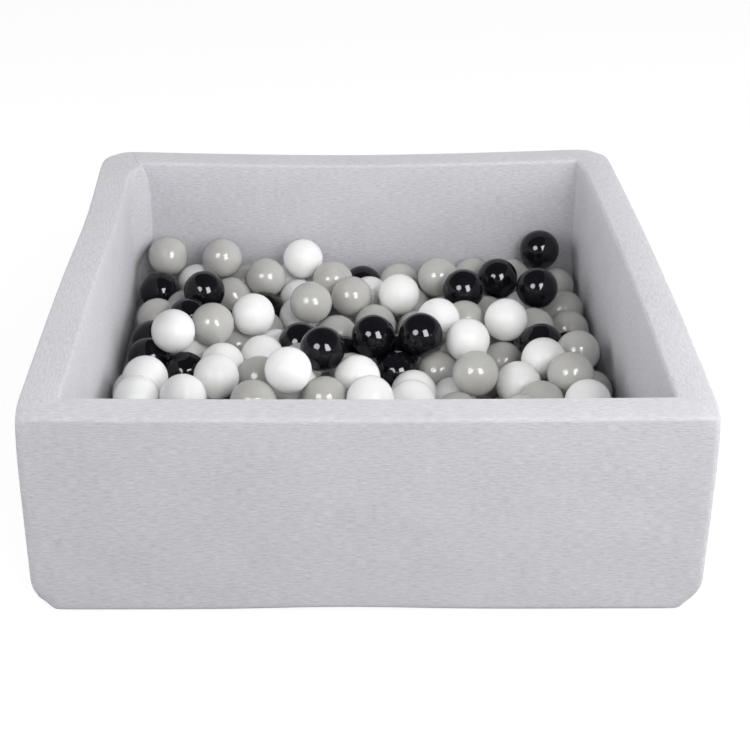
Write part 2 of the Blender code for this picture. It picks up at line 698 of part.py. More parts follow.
def icosphere(centre, radius, subdivisions):
    mesh = bmesh.new()
    bmesh.ops.create_icosphere(mesh, subdivisions=subdivisions, radius=radius)
    points = np.array([vertex.co[:] for vertex in mesh.verts]) + centre
    faces = [tuple(vertex.index for vertex in face.verts) for face in mesh.faces]
    mesh.free()
    return points, turned_out(points, faces)


def packed_ball(centre, touching):
    """A ball with a corner of its hull reaching half-way to each ball that it is fused to."""
    mesh = bmesh.new()
    bmesh.ops.create_icosphere(mesh, subdivisions=1, radius=1.0)
    corners = np.array([vertex.co[:] for vertex in mesh.verts])
    middles = np.array([np.mean([vertex.co[:] for vertex in face.verts], axis=0) for face in mesh.faces])
    mesh.free()
    middles /= np.linalg.norm(middles, axis=1)[:, None]
    directions = np.vstack([corners, middles])
    for away in touching:
        length = np.linalg.norm(away)
        reach = (length + PACKED_SINK) / BALL_DIAMETER
        nearest = np.argmax(directions @ away / np.linalg.norm(directions, axis=1))
        directions[nearest] = away / length * reach
    mesh = bmesh.new()
    for direction in directions:
        mesh.verts.new(centre + BALL_RADIUS * direction)
    bmesh.ops.convex_hull(mesh, input=mesh.verts)
    mesh.verts.index_update()
    points = np.array([vertex.co[:] for vertex in mesh.verts])
    faces = [tuple(vertex.index for vertex in face.verts) for face in mesh.faces]
    mesh.free()
    return points, turned_out(points, faces)


def contact_tree(places):
    """Touching pairs that link as many balls as possible, and the largest linked group."""
    between = places[:, None] - places[None]
    distance = np.sqrt((between**2).sum(axis=2))
    pairs = [(distance[i, j], i, j) for i in range(len(places)) for j in range(i)]
    group = list(range(len(places)))
    tree = []
    for length, i, j in sorted(pairs):
        if length > BALL_DIAMETER + LINK_REACH:
            break
        if group[i] != group[j]:
            tree.append((i, j))
            old, new = group[i], group[j]
            group = [new if item == old else item for item in group]
    largest = max(set(group), key=group.count)
    return tree, [i for i in range(len(places)) if group[i] == largest]


def surface_tree(shape):
    points, faces = shape
    return BVHTree.FromPolygons(points.tolist(), faces)


def seating_drop(shape, centre, carriers):
    """How far a ball sinks before it is carried by the shapes under it."""
    points, faces = shape
    wider = centre + (points - centre) * (1 + SEAT_GAP / BALL_RADIUS)
    carried_by = surface_tree(joined(carriers))
    low, high = 0.0, SEAT_REACH
    for _ in range(SEAT_STEPS):
        middle = (low + high) / 2
        if surface_tree((wider - (0, 0, middle), faces)).overlap(carried_by):
            high = middle
        else:
            low = middle
    return low


def seated_balls(centres, packed, packed_shapes):
    """Centres of the loose balls, each let down on its neighbours, the lowest first."""
    centres = centres.copy()
    near = 2 * BALL_DIAMETER
    for i in np.argsort(centres[:, 2]):
        shape = icosphere(centres[i], BALL_RADIUS, BALL_SPLIT_STEPS)
        close = np.linalg.norm(packed - centres[i], axis=1) < near
        carriers = [packed_shapes[k] for k in np.flatnonzero(close)]
        close = np.linalg.norm(centres - centres[i], axis=1) < near
        carriers += [icosphere(centres[k], BALL_RADIUS, BALL_SPLIT_STEPS)
                     for k in np.flatnonzero(close) if k != i]
        centres[i, 2] -= seating_drop(shape, centres[i], carriers)
    return centres


def build_balls(materials):
    places, colours, free = ball_places()
    packed = places[~free]
    tree, members = contact_tree(packed)
    shapes = []
    for i in members:
        touching = []
        for a, b in tree:
            if i in (a, b):
                touching.append(packed[b if i == a else a] - packed[i])
        shapes.append(packed_ball(packed[i], touching))
    fused("packed_balls", shapes, materials["grey"], packed[members].mean(axis=0))
    centres = seated_balls(places[free], packed[members], shapes)
    for i, (centre, colour) in enumerate(zip(centres, np.array(colours)[free])):
        name = "%s_ball_%02d" % (colour, i + 1)
        new_object(name, icosphere(centre, BALL_RADIUS, BALL_SPLIT_STEPS), materials[str(colour)], centre)
    print("balls", len(places), "packed", len(packed), "fused", len(members))


def main():
    clear_scene()
    materials = {
        "jersey": new_material("grey_jersey", (0.55, 0.56, 0.58), 0.95),
        "foam": new_material("white_foam", (0.86, 0.85, 0.80), 0.90),
        "tape": new_material("zip_tape", (0.60, 0.61, 0.63), 0.85),
        "metal": new_material("zip_metal", (0.70, 0.70, 0.72), 0.35, 1.0),
        WHITE: new_material("white_plastic", (0.90, 0.90, 0.90), 0.12),
        GREY: new_material("grey_plastic", (0.50, 0.49, 0.47), 0.12),
        BLACK: new_material("black_plastic", (0.01, 0.01, 0.012), 0.08),
    }
    build_walls(materials)
    build_mat(materials)
    build_balls(materials)


main()
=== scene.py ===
import math

import bpy
import numpy as np
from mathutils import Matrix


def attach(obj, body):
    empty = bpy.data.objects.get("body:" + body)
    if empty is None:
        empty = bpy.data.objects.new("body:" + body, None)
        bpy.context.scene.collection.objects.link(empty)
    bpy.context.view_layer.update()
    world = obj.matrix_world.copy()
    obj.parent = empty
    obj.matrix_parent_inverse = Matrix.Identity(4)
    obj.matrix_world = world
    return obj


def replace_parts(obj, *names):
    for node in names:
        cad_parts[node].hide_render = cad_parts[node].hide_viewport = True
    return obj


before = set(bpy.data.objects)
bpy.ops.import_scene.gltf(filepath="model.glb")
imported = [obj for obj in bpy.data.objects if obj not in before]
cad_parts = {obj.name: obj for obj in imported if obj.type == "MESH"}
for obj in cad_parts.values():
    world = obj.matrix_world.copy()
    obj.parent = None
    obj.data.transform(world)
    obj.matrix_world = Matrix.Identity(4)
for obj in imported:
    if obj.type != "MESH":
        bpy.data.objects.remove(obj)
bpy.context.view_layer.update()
print("stage: frame loaded")

rng = np.random.default_rng(11)


def meshPiece(name, points, faces, body, material, uv=None, smooth=True, triangles=None):
    # faces is an index array of quads, triangles one of triangles beside them
    mesh = bpy.data.meshes.new(name)
    triangles = np.zeros((0, 3), np.int32) if triangles is None else triangles
    corners = np.concatenate([faces.ravel(), triangles.ravel()]).astype(np.int32)
    starts = np.concatenate([np.arange(len(faces)) * 4, faces.size + np.arange(len(triangles)) * 3])
    mesh.vertices.add(len(points))
    mesh.vertices.foreach_set("co", np.asarray(points, np.float32).ravel())
    mesh.loops.add(len(corners))
    mesh.loops.foreach_set("vertex_index", corners)
    mesh.polygons.add(len(starts))
    mesh.polygons.foreach_set("loop_start", starts.astype(np.int32))
    mesh.polygons.foreach_set("use_smooth", np.full(len(starts), smooth))
    if uv is not None:
        layer = mesh.uv_layers.new(name="cloth")
        layer.data.foreach_set("uv", np.asarray(uv, np.float32)[corners].ravel())
    mesh.update(calc_edges=True)
    mesh.validate()
    mesh.materials.append(material)
    piece = bpy.data.objects.new(name, mesh)
    bpy.context.scene.collection.objects.link(piece)
    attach(piece, body)
    return piece


def gridFaces(rows, columns, closeRows, closeColumns):
    # quads of a grid of rows x columns points, each direction closed on itself or not
    i = np.arange(rows if closeRows else rows - 1)
    j = np.arange(columns if closeColumns else columns - 1)
    i, j = np.meshgrid(i, j, indexing="ij")
    iNext, jNext = (i + 1) % rows, (j + 1) % columns
    quads = np.stack([i * columns + j, iNext * columns + j, iNext * columns + jNext, i * columns + jNext], -1)
    return quads.reshape(-1, 4)


def smoothStep(x):
    # 3 x^2 - 2 x^3 between 0 and 1, level outside
    x = np.clip(x, 0, 1)
    return x * x * (3 - 2 * x)


def newMaterial(name):
    material = bpy.data.materials.new(name)
    material.use_nodes = True
    return material, material.node_tree, material.node_tree.nodes["Principled BSDF"]


def addNode(tree, kind, **settings):
    # a shader node with its inputs and properties set by name
    node = tree.nodes.new(kind)
    for key, value in settings.items():
        if key in node.inputs:
            node.inputs[key].default_value = value
        else:
            setattr(node, key, value)
    return node


def setInputs(node, values):
    for key, value in values.items():
        node.inputs[key].default_value = value


def objectPlace(tree):
    # the place on the piece, in metres
    return addNode(tree, "ShaderNodeTexCoord").outputs["Object"]


def stretched(tree, source, along, across):
    # the source coordinates times a scale on each of the first two axes
    mapping = addNode(tree, "ShaderNodeMapping", Scale=(along, across, 1.0))
    tree.links.new(source, mapping.inputs["Vector"])
    return mapping.outputs["Vector"]


def noiseOf(tree, vector, scale, detail=3.0, roughness=0.55):
    # soft random values about a half, scale of them per unit of the coordinates
    node = addNode(tree, "ShaderNodeTexNoise", Scale=scale, Detail=detail, Roughness=roughness)
    tree.links.new(vector, node.inputs["Vector"])
    return node.outputs["Fac"]


def mixNumbers(tree, operation, a, b):
    # a maths node on two values, each a number or another node's output
    node = addNode(tree, "ShaderNodeMath", operation=operation)
    for socket, value in zip(node.inputs, (a, b)):
        if isinstance(value, (int, float)):
            socket.default_value = value
        else:
            tree.links.new(value, socket)
    return node.outputs[0]


def rampOf(tree, value, stops):
    # colours at places from 0 to 1, blended between them
    node = addNode(tree, "ShaderNodeValToRGB")
    ramp = node.color_ramp
    while len(ramp.elements) < len(stops):
        ramp.elements.new(0.5)
    for element, (place, colour) in zip(ramp.elements, stops):
        element.position = place
        element.color = (*colour, 1.0)
    tree.links.new(value, node.inputs["Fac"])
    return node.outputs["Color"]


def weighted(tree, terms):
    # the sum of each value times its weight
    parts = [mixNumbers(tree, "MULTIPLY", value, weight) for value, weight in terms]
    total = parts[0]
    for part in parts[1:]:
        total = mixNumbers(tree, "ADD", total, part)
    return total


def bumped(tree, shader, height, strength, depth):
    # the shader's normal tilted by the slope of a height
    bump = addNode(tree, "ShaderNodeBump", Strength=strength, Distance=depth)
    tree.links.new(height, bump.inputs["Height"])
    tree.links.new(bump.outputs["Normal"], shader.inputs["Normal"])


def byRay(tree, kind, otherwise, chosen):
    # the chosen shader for rays of one kind, the other for the rest
    choose = addNode(tree, "ShaderNodeMixShader")
    tree.links.new(addNode(tree, "ShaderNodeLightPath").outputs[kind], choose.inputs["Fac"])
    tree.links.new(otherwise.outputs[0], choose.inputs[1])
    tree.links.new(chosen.outputs[0], choose.inputs[2])
    return choose


def glossed(tree, shader, vector, scale, roughness, shares):
    # roughness that wanders with noise between two shares of the stated one
    gloss = addNode(tree, "ShaderNodeMapRange")
    tree.links.new(noiseOf(tree, vector, scale, 2.0), gloss.inputs["Value"])
    setInputs(gloss, {"To Min": roughness * shares[0], "To Max": roughness * shares[1]})
    tree.links.new(gloss.outputs[0], shader.inputs["Roughness"])


# cloth of the covers
jerseyLook = {
    "yarns": ((0.438, 0.436, 0.467), (0.560, 0.557, 0.592), (0.662, 0.658, 0.692)),  # dark, middle and light
    "yarnStops": (0.34, 0.50, 0.66),
    "streaks": (70.0, 520.0),  # per metre along the wall and across it
    "wales": (161.0, 900.0),
    "clouds": (9.0, 16.0),
    "weights": (0.62, 0.26, 0.12),  # of streaks, wales and clouds
    "wander": (14.0, 0.010),  # how often and how far the rows drift
    "bump": (0.45, 0.0007),
    "roughness": 0.95,
    "specular": 0.2,
    "sheen": (0.25, 0.6),
}
# the seam over the back left corner. Its colour and depth are painted shade in the seam's crease: depth is
# how far the yarn colour is mixed towards that dark colour
seam = {
    "place": (-0.383, 0.397),
    "slant": 0.30,
    "width": 0.0013,
    "overlap": 0.004,
    "lowest": 0.275,
    "colour": (0.16, 0.16, 0.18, 1),
    "depth": 0.45,
}


def seamGrooveAndShadeMask(tree):
    # the seam over the back left corner: 1 along a slanting line on the top, behind the inner face, |x - x0 +
    # slant (y - y0)| under a width. The mask cuts the seam's groove into the bump and lays painted shade
    # along it in the colour
    spot = addNode(tree, "ShaderNodeSeparateXYZ")
    tree.links.new(objectPlace(tree), spot.inputs[0])
    back = mixNumbers(tree, "SUBTRACT", spot.outputs["Y"], seam["place"][1])
    side = mixNumbers(tree, "SUBTRACT", spot.outputs["X"], seam["place"][0])
    side = mixNumbers(tree, "ADD", side, mixNumbers(tree, "MULTIPLY", back, seam["slant"]))
    line = addNode(tree, "ShaderNodeMapRange", interpolation_type="SMOOTHSTEP")
    tree.links.new(mixNumbers(tree, "ABSOLUTE", side, 0.0), line.inputs["Value"])
    setInputs(line, {"From Max": seam["width"], "To Min": 1.0, "To Max": 0.0})
    onTop = mixNumbers(tree, "MULTIPLY", mixNumbers(tree, "GREATER_THAN", back, -seam["overlap"]),
                       mixNumbers(tree, "GREATER_THAN", spot.outputs["Z"], seam["lowest"]))
    return mixNumbers(tree, "MULTIPLY", line.outputs[0], onTop)


def jerseyMaterial(name, look):
    # melange knit: thin streaks along the wall from stretched noise, light and dark yarn by a ramp,
    # and a bump from the same streaks over fine wales
    material, tree, shader = newMaterial(name)
    cloth = addNode(tree, "ShaderNodeUVMap", uv_map="cloth").outputs["UV"]
    often, far = look["wander"]
    wander = addNode(tree, "ShaderNodeTexNoise", Scale=often, Detail=2.0)
    tree.links.new(cloth, wander.inputs["Vector"])
    shift = addNode(tree, "ShaderNodeVectorMath", operation="SCALE", Scale=far)
    tree.links.new(wander.outputs["Color"], shift.inputs[0])
    bent = addNode(tree, "ShaderNodeVectorMath", operation="ADD")
    tree.links.new(cloth, bent.inputs[0])
    tree.links.new(shift.outputs[0], bent.inputs[1])
    streaks = noiseOf(tree, stretched(tree, bent.outputs[0], *look["streaks"]), 1.0, 4.0, 0.6)
    wales = noiseOf(tree, stretched(tree, bent.outputs[0], *look["wales"]), 1.0, 2.0, 0.5)
    clouds = noiseOf(tree, stretched(tree, cloth, *look["clouds"]), 1.0, 3.0, 0.5)
    yarn = weighted(tree, zip((streaks, wales, clouds), look["weights"]))
    colour = rampOf(tree, yarn, tuple(zip(look["yarnStops"], look["yarns"])))
    # the seam: a groove in the bump, and painted shade that darkens the yarn colour along its line
    line = seamGrooveAndShadeMask(tree)
    shade = addNode(tree, "ShaderNodeMix", data_type="RGBA")
    tree.links.new(mixNumbers(tree, "MULTIPLY", line, seam["depth"]), shade.inputs[0])
    tree.links.new(colour, shade.inputs[6])
    shade.inputs[7].default_value = seam["colour"]
    tree.links.new(shade.outputs[2], shader.inputs["Base Color"])
    bumped(tree, shader, mixNumbers(tree, "SUBTRACT", yarn, line), *look["bump"])
    setInputs(shader, {"Roughness": look["roughness"], "Specular IOR Level": look["specular"],
                       "Sheen Weight": look["sheen"][0], "Sheen Roughness": look["sheen"][1]})
    return material


jersey = jerseyMaterial("greyMelangeJersey", jerseyLook)


# walls: plan, section, and how the stretched cover draws them out of square
pit = {
    "half": 0.450,
    "height": 0.306,
    "wall": 0.053,
    "outerRadius": 0.011,
    "innerRadius": 0.002,
    "topEdge": 0.0055,
    "innerTopEdge": 0.0050,
    "bottomEdge": 0.009,
    "crown": 0.0016,
    "bulge": 0.0012,
    "bow": {"front": 0.002, "right": 0.0065, "back": 0.000, "left": 0.000},
    "lean": {"left": 0.0035, "right": 0.0075},
    "dent": (0.006, 0.17, 0.17),  # depth, middle and width along the left wall
    "sag": {"front": 0.001, "right": 0.001, "back": 0.0065, "left": 0.001},
    "backRightLift": 0.004,
    "pull": (0.0035, 0.0085, 0.030),  # of the front and the back corners, and its reach
    "bridge": ((-1, 0.014, 0.031, 0.105, 0.160), (1, 0.006, 0.004, 0.090, 0.150)),  # side, depths, levels
    "bridgeReach": (0.060, 0.085),  # along the side wall and along the back wall
    "bridgeTop": 0.020,
    "cornerDrop": 0.004,
    "cornerLift": 0.003,
    "cornerTuck": (0.022, 0.010),
    "footLift": (0.0045, -0.03, 0.13),  # height, middle and width along the front
    "cornerReach": 0.020,
    "cornerFoot": 0.050,
    "step": 0.0065,
    "cornerSteps": 12,
    "slotLength": 0.640,
    "slotWidth": 0.014,
    "slotMargin": (0.0003, 0.030),
    "hair": 0.0004,
    "hem": 0.002,
}
pit["innerHalf"] = pit["half"] - pit["wall"]
pit["zipY"] = pit["innerHalf"] + pit["wall"] / 2
# zips under the back wall and under the mat, and the channels that the foam leaves for them
zipper = {
    "half": 0.320,
    "overrun": 0.010,
    "grooveHalf": 0.3312,
    "grooveSide": 0.0150,
    "grooveTop": 0.0083,
    "tapeReach": 0.0138,
    "tapeInner": 0.0010,
    "foldOut": 0.0078,
    "foldIn": 0.0046,
    "tapeThick": 0.0006,
    "marginZ": 0.0018,
    "chainZ": 0.0053,
    "coilY": 0.0012,
    "coilRadius": 0.0011,
    "wire": 0.0005,
    "pitch": 0.0016,
    "stitch": (0.0026, 0.0034, 0.0002),  # length, pitch and radius
    "stitchY": 0.0098,
    "colour": (0.60, 0.61, 0.63),
    "weave": (0.0011, 0.0008),
}


def roundedRing(halfX, halfY, radius, stations, arcs):
    # a rounded rectangle in plan, anticlockwise from the front left: stations along each side, then an arc
    # returns points, outward directions and the side number, a half where the arc is
    parts = []
    for side in range(4):
        turn = side * math.pi / 2
        along = np.array([math.cos(turn), math.sin(turn)])
        outward = np.array([math.sin(turn), -math.cos(turn)])
        length, depth = (halfX, halfY) if side % 2 == 0 else (halfY, halfX)
        w = np.linspace(-1, 1, stations + 1)[:-1]
        straight = w[:, None] * (length - radius) * along + depth * outward
        parts.append((straight, np.tile(outward, (stations, 1)), np.full(stations, side)))
        angles = np.linspace(0, math.pi / 2, arcs + 1)[:-1]
        centre = (length - radius) * along + (depth - radius) * outward
        directions = np.cos(angles)[:, None] * outward + np.sin(angles)[:, None] * along
        parts.append((centre + radius * directions, directions, np.full(arcs, side + 0.5)))
    return [np.concatenate(part) for part in zip(*parts)]


def softened(points):
    # how the cover pulls on the foam, the same for both. s runs 0 to 1 between the inner corners:
    # each wall bows out by bow x sin(pi s) x (0.35 + 0.65 z/h) and its top sags by sag x sin(pi s)
    # top: + crown x sin(pi a/wall). Outer corners: top - drop x near, foot + lift x near, both pulled in,
    # near = exp(-(d/reach)^2). The sides lean in with z, the left one is drawn in near the back, and the
    # back right corner stands higher
    half, inner, height, wall = pit["half"], pit["innerHalf"], pit["height"], pit["wall"]
    x, y, z = points.reshape(-1, 3).T.copy()
    level = np.clip(z / height, 0, 1)
    top = level ** 4
    across = np.maximum(np.abs(x), np.abs(y)) - inner
    newX, newY, sag = x.copy(), y.copy(), np.zeros_like(z)
    for place, other, sign, name in ((y, x, -1, "front"), (x, y, 1, "right"),
                                     (y, x, 1, "back"), (x, y, -1, "left")):
        member = sign * place > inner - pit["hair"]
        swell = np.where(member, np.sin(math.pi * np.clip((other + inner) / (2 * inner), 0, 1)), 0)
        outer = np.where(sign * place > inner + wall / 2, 1.0, -1.0)
        push = pit["bow"][name] * swell * (0.35 + 0.65 * level)
        push += pit["bulge"] * np.sqrt(swell) * np.sin(math.pi * level) * outer
        if place is y:
            newY += sign * push
        else:
            newX += sign * push
        sag += pit["sag"][name] * swell
    newX -= x / half * level * np.where(x > 0, pit["lean"]["right"], pit["lean"]["left"])
    depth, middle, width = pit["dent"]
    newX += np.where(x < -inner + pit["hair"], depth * np.exp(-((y - middle) / width) ** 2) * level**2, 0)
    newZ = z + pit["backRightLift"] * top * np.clip(x / half, 0, 1) * np.clip(y / half, 0, 1)
    frontPull, backPull, pullReach = pit["pull"]
    close = np.exp(-(np.hypot(half - np.abs(x), half - np.abs(y)) / pullReach) ** 2) * level**8
    newX -= np.sign(x) * np.where(y > 0, backPull, frontPull) * close
    newY -= np.sign(y) * np.where(y > 0, backPull, frontPull) * close
    # the cloth bridges the two inner corners at the back: its corner line slides along the back wall,
    # by the first depth at the top and the second lower down, fading below the balls' level
    alongSide, alongBack = pit["bridgeReach"]
    for sign, atTop, below, lower, upper in pit["bridge"]:
        u, v = inner - sign * x, inner - y
        slide = atTop + (below - atTop) * (1 - np.exp(-(height - z) / pit["bridgeTop"]))
        slide = slide * smoothStep((z - lower) / (upper - lower))
        for away, along in ((v, alongSide), (u, alongBack)):
            slide = slide * np.clip(1 - np.maximum(away, 0) / along, 0, 1)
            slide = slide * np.clip(1 + np.minimum(away, 0) / wall, 0, 1) ** 2
        newX -= sign * slide
    near = np.exp(-(np.hypot(half - np.abs(x), half - np.abs(y)) / pit["cornerReach"]) ** 2)
    crown = pit["crown"] * np.sin(math.pi * np.clip(across / wall, 0, 1)) * level ** 12
    foot = (1 - np.clip(z / pit["cornerFoot"], 0, 1)) ** 2
    lifted, liftX, liftWidth = pit["footLift"]
    waves = lifted * np.exp(-((x - liftX) / liftWidth) ** 2) * np.where(y < -inner, 1, 0)
    newZ += crown - sag * top - pit["cornerDrop"] * near * top + (pit["cornerLift"] * near + waves) * foot
    tuckX, tuckY = pit["cornerTuck"]
    newX -= np.sign(x) * tuckX * near * foot
    newY -= np.sign(y) * tuckY * near * foot
    return np.stack([newX, newY, newZ], -1).reshape(points.shape)


def sectionOutline():
    # the wall's section from the outer foot up, over the top, down the inner face and back below
    # as offset a from the inner face, height z, and the length along the section
    wall, height, top, foot, step = pit["wall"], pit["height"], pit["topEdge"], pit["bottomEdge"], pit["step"]
    lip = pit["innerTopEdge"]
    turns = np.radians(np.linspace(0, 90, 9))
    up = np.arange(foot, height - top, step)[1:]
    down = np.append(up[up < height - top], height - (top + lip) / 2)[::-1]
    across = np.linspace(wall - top, lip, 9)[1:-1]
    slotHalf = pit["slotWidth"] / 2
    below = np.concatenate([np.linspace(foot, wall / 2 - slotHalf, 4)[1:],
                            [wall / 2], np.linspace(wall / 2 + slotHalf, wall - foot, 4)[:-1]])
    a = np.concatenate([wall - foot + foot * np.sin(turns), np.full(len(up), wall),
                        wall - top + top * np.cos(turns), across,
                        lip - lip * np.sin(turns), np.zeros(len(down)),
                        foot - foot * np.cos(turns), below])
    z = np.concatenate([foot - foot * np.cos(turns), up,
                        height - top + top * np.sin(turns), np.full(len(across), height),
                        height - lip + lip * np.cos(turns), down,
                        foot - foot * np.sin(turns), np.zeros(len(below))])
    length = np.concatenate([[0], np.cumsum(np.hypot(np.diff(a), np.diff(z)))])
    return a, z, length


def squared(points, middleY, axis):
    # lines the rows of the grid up beside the zip slot: x becomes the row's mean, and the row nearest each
    # end goes to the end, so that the slot is cut square
    x, y, z = points[..., 0], points[..., 1], points[..., 2]
    end = pit["slotLength"] / 2
    aside, beyond = pit["slotMargin"]
    band = (np.abs(y - middleY) < pit["slotWidth"] / 2 + aside) & (z < pit["hem"])
    band &= np.abs(x) < end + beyond
    straight = (x * band).sum(axis, keepdims=True) / np.maximum(band.sum(axis, keepdims=True), 1)
    moved = points.copy()
    moved[..., 0] = np.where(band, straight, x)
    for sign in (-1, 1):
        off = np.where(band, np.abs(moved[..., 0] - sign * end), pit["half"])
        moved[..., 0] = np.where(off < off.min() + 0.0001, sign * end, moved[..., 0])
    return moved


def wallSurface():
    # grid: station along the ring x point of the section
    a, z, length = sectionOutline()
    wall, inner = pit["wall"], pit["innerHalf"]
    stations = int(2 * pit["half"] / pit["step"])
    radii = pit["innerRadius"] + (pit["outerRadius"] - pit["innerRadius"]) * a / wall
    plan = np.stack([roundedRing(inner + offset, inner + offset, radius, stations, pit["cornerSteps"])[0]
                     for offset, radius in zip(a, radii)], 1)
    points = np.concatenate([plan, np.broadcast_to(z[None, :, None], plan.shape[:2] + (1,))], 2)
    around = np.concatenate([[0], np.cumsum(np.hypot(*(np.diff(plan[:, len(a) // 4], axis=0).T)))])
    uv = np.stack(np.broadcast_arrays(around[:, None], length[None]), -1)
    return softened(squared(points, pit["zipY"], 1)), uv


def slotFaces(points, faces, middleY):
    # which faces lie over the zip slot underneath
    centres = points[faces].mean(1)
    over = np.abs(centres[:, 0]) < pit["slotLength"] / 2
    over &= np.abs(centres[:, 1] - middleY) < pit["slotWidth"] / 2
    return over & (centres[:, 2] < pit["hem"])


points, uv = wallSurface()
rows, columns = points.shape[:2]
faces = gridFaces(rows, columns, True, True)
flat = points.reshape(-1, 3)
faces = faces[~slotFaces(flat, faces, pit["zipY"])][:, ::-1]
wallCover = meshPiece("wall_cover_jersey", flat, faces, "pit_walls", jersey, uv.reshape(-1, 2))
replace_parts(wallCover, "wall_cover")
print("stage: wall cover", len(faces))


def blockSurface(halfX, halfY, height, radius, edge, stations, arcs, inward):
    # a padded block in plan roundedRing, its foot and top edges turned over a quarter circle:
    # rings from the middle of the underside out, up the side and back to the middle of the top
    turns = np.radians(np.linspace(0, 90, 7))
    side = np.linspace(edge, height - edge, 8)[1:-1]
    steps = np.concatenate([inward[::-1], edge - edge * np.sin(turns), np.zeros(len(side)),
                            edge - edge * np.cos(turns), inward])
    z = np.concatenate([np.zeros(len(inward)), edge - edge * np.cos(turns), side,
                        height - edge + edge * np.sin(turns), np.full(len(inward), height)])
    least, most = 0.0006, 0.8 * (min(halfX, halfY) - steps)
    radii = np.minimum(np.maximum(radius - steps, least), most)
    plan = np.stack([roundedRing(halfX - step, halfY - step, bend, stations, arcs)[0]
                     for step, bend in zip(steps, radii)])
    return np.concatenate([plan, np.broadcast_to(z[:, None, None], plan.shape[:2] + (1,))], 2)


def grooved(points, lining, middleY):
    # a channel in the underside, of the zip's length and width, up to its depth
    x, y, z = points[..., 0], points[..., 1], points[..., 2]
    over = (np.abs(x) < zipper["grooveHalf"]) & (np.abs(y - middleY) < zipper["grooveSide"] - 0.0001)
    points[..., 2] = np.where(over & (z < lining + 0.0002), zipper["grooveTop"], z)
    return points


def beside(place):
    # two rows close by a place where the surface steps
    return np.array([place - 0.0001, place + 0.0001])


def closedEnds(points):
    # grid faces of rings plus a fan of triangles to the middle of the first and the last ring
    rows, columns = points.shape[:2]
    flat = np.vstack([points.reshape(-1, 3), points[0].mean(0), points[-1].mean(0)])
    flat[-1, 2] = points[-1, :, 2].min()
    j = np.arange(columns)
    nextJ = (j + 1) % columns
    last = (rows - 1) * columns
    fans = np.concatenate([np.stack([np.full(columns, len(flat) - 2), nextJ, j], -1),
                           np.stack([np.full(columns, len(flat) - 1), last + j, last + nextJ], -1)])
    return flat, gridFaces(rows, columns, False, True)[:, ::-1], fans


# foam blocks inside the cover
foam = {
    "lining": 0.0018,
    "inner": 0.0494,  # from the outer face to the inner one
    "corner": 0.016,
    "sideCorner": 0.002,
    "edge": 0.0095,
    "gap": 0.0004,
    "roughness": 0.95,
    "cells": (900.0, 0.7),  # scale and weight
    "clouds": (30.0, 0.3),
    "colours": ((0.30, (0.62, 0.58, 0.47)), (0.52, (0.80, 0.77, 0.66)), (0.72, (0.88, 0.86, 0.77))),
}


def foamLook():
    # open-cell foam: cream, with pale and dark cells from two noises and the same cells as bump
    material, tree, shader = newMaterial("creamFoam")
    place = objectPlace(tree)
    cells = noiseOf(tree, place, foam["cells"][0], 2.0)
    clouds = noiseOf(tree, place, foam["clouds"][0], 3.0)
    both = weighted(tree, ((cells, foam["cells"][1]), (clouds, foam["clouds"][1])))
    tree.links.new(rampOf(tree, both, foam["colours"]), shader.inputs["Base Color"])
    bumped(tree, shader, cells, 0.6, 0.0006)
    setInputs(shader, {"Roughness": foam["roughness"], "Specular IOR Level": 0.15})
    return material


creamFoam = foamLook()
outer = pit["half"] - foam["lining"]
foamInner = outer - foam["inner"]
sideHalf = foamInner - foam["gap"]
for name, middle, halfX, halfY, corner in (
        ("front", (0, -1), outer, None, foam["corner"]), ("back", (0, 1), outer, None, foam["corner"]),
        ("left", (-1, 0), None, sideHalf, foam["sideCorner"]),
        ("right", (1, 0), None, sideHalf, foam["sideCorner"])):
    reachOut = (outer - foamInner) / 2
    inset = reachOut - zipper["grooveSide"]
    inward = np.concatenate([beside(inset), np.linspace(inset, reachOut - 0.00005, 5)[1:]])
    points = blockSurface(halfX or reachOut, halfY or reachOut, pit["height"] - 2 * foam["lining"], corner,
                          foam["edge"], 100, 6, inward)
    points[..., :2] += np.array(middle) * (foamInner + reachOut)
    points[..., 2] += foam["lining"]
    if name == "back":
        points = grooved(points, foam["lining"], pit["zipY"])
    flat, faces, fans = closedEnds(softened(points))
    block = meshPiece("foam_" + name + "_block", flat, faces, "pit_walls", creamFoam, triangles=fans)
    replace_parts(block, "foam_" + name)
print("stage: wall foam")


# floor mat
mat = {"half": 0.3962, "height": 0.053, "radius": 0.016, "edge": 0.012, "lining": 0.0018, "middle": 0.004}
mat["zipY"] = mat["half"] - pit["wall"] / 2


def matSurface(depth, channelSide):
    # the cover, or the foam at a depth inside it, with rings along both sides of a channel for the zip
    half, height = mat["half"] - depth, mat["height"] - 2 * depth
    near, far = pit["wall"] / 2 - depth - channelSide, pit["wall"] / 2 - depth + channelSide
    inward = np.concatenate([beside(near), np.linspace(near, far, 4)[1:-1], beside(far),
                             np.linspace(far, half - mat["middle"], 24)[1:]])
    edge = min(mat["edge"] - depth, near - 0.0005)
    points = blockSurface(half, half, height, mat["radius"] - depth, edge, 120, 6, inward)
    points[..., 2] += depth
    return points


flat, faces, fans = closedEnds(squared(matSurface(0.0, pit["slotWidth"] / 2), mat["zipY"], 0))
# the pattern turns down over the edges: u = x, v = y, each carried on by the depth below the top
turned = np.clip((np.abs(flat[:, :2]) - mat["half"] + mat["edge"]) / mat["edge"], 0, 1)
matUv = flat[:, :2] + np.sign(flat[:, :2]) * turned * (mat["height"] - flat[:, 2:])
faces = faces[~slotFaces(flat, faces, mat["zipY"])]
matCover = meshPiece("mat_cover_jersey", flat, faces, "floor_mat", jersey, matUv, triangles=fans)
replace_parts(matCover, "mat_cover")
matInside = grooved(matSurface(mat["lining"], zipper["grooveSide"]), mat["lining"], mat["zipY"])
flat, faces, fans = closedEnds(matInside)
block = meshPiece("mat_foam_block", flat, faces, "floor_mat", creamFoam, triangles=fans)
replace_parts(block, "mat_foam")
print("stage: mat")


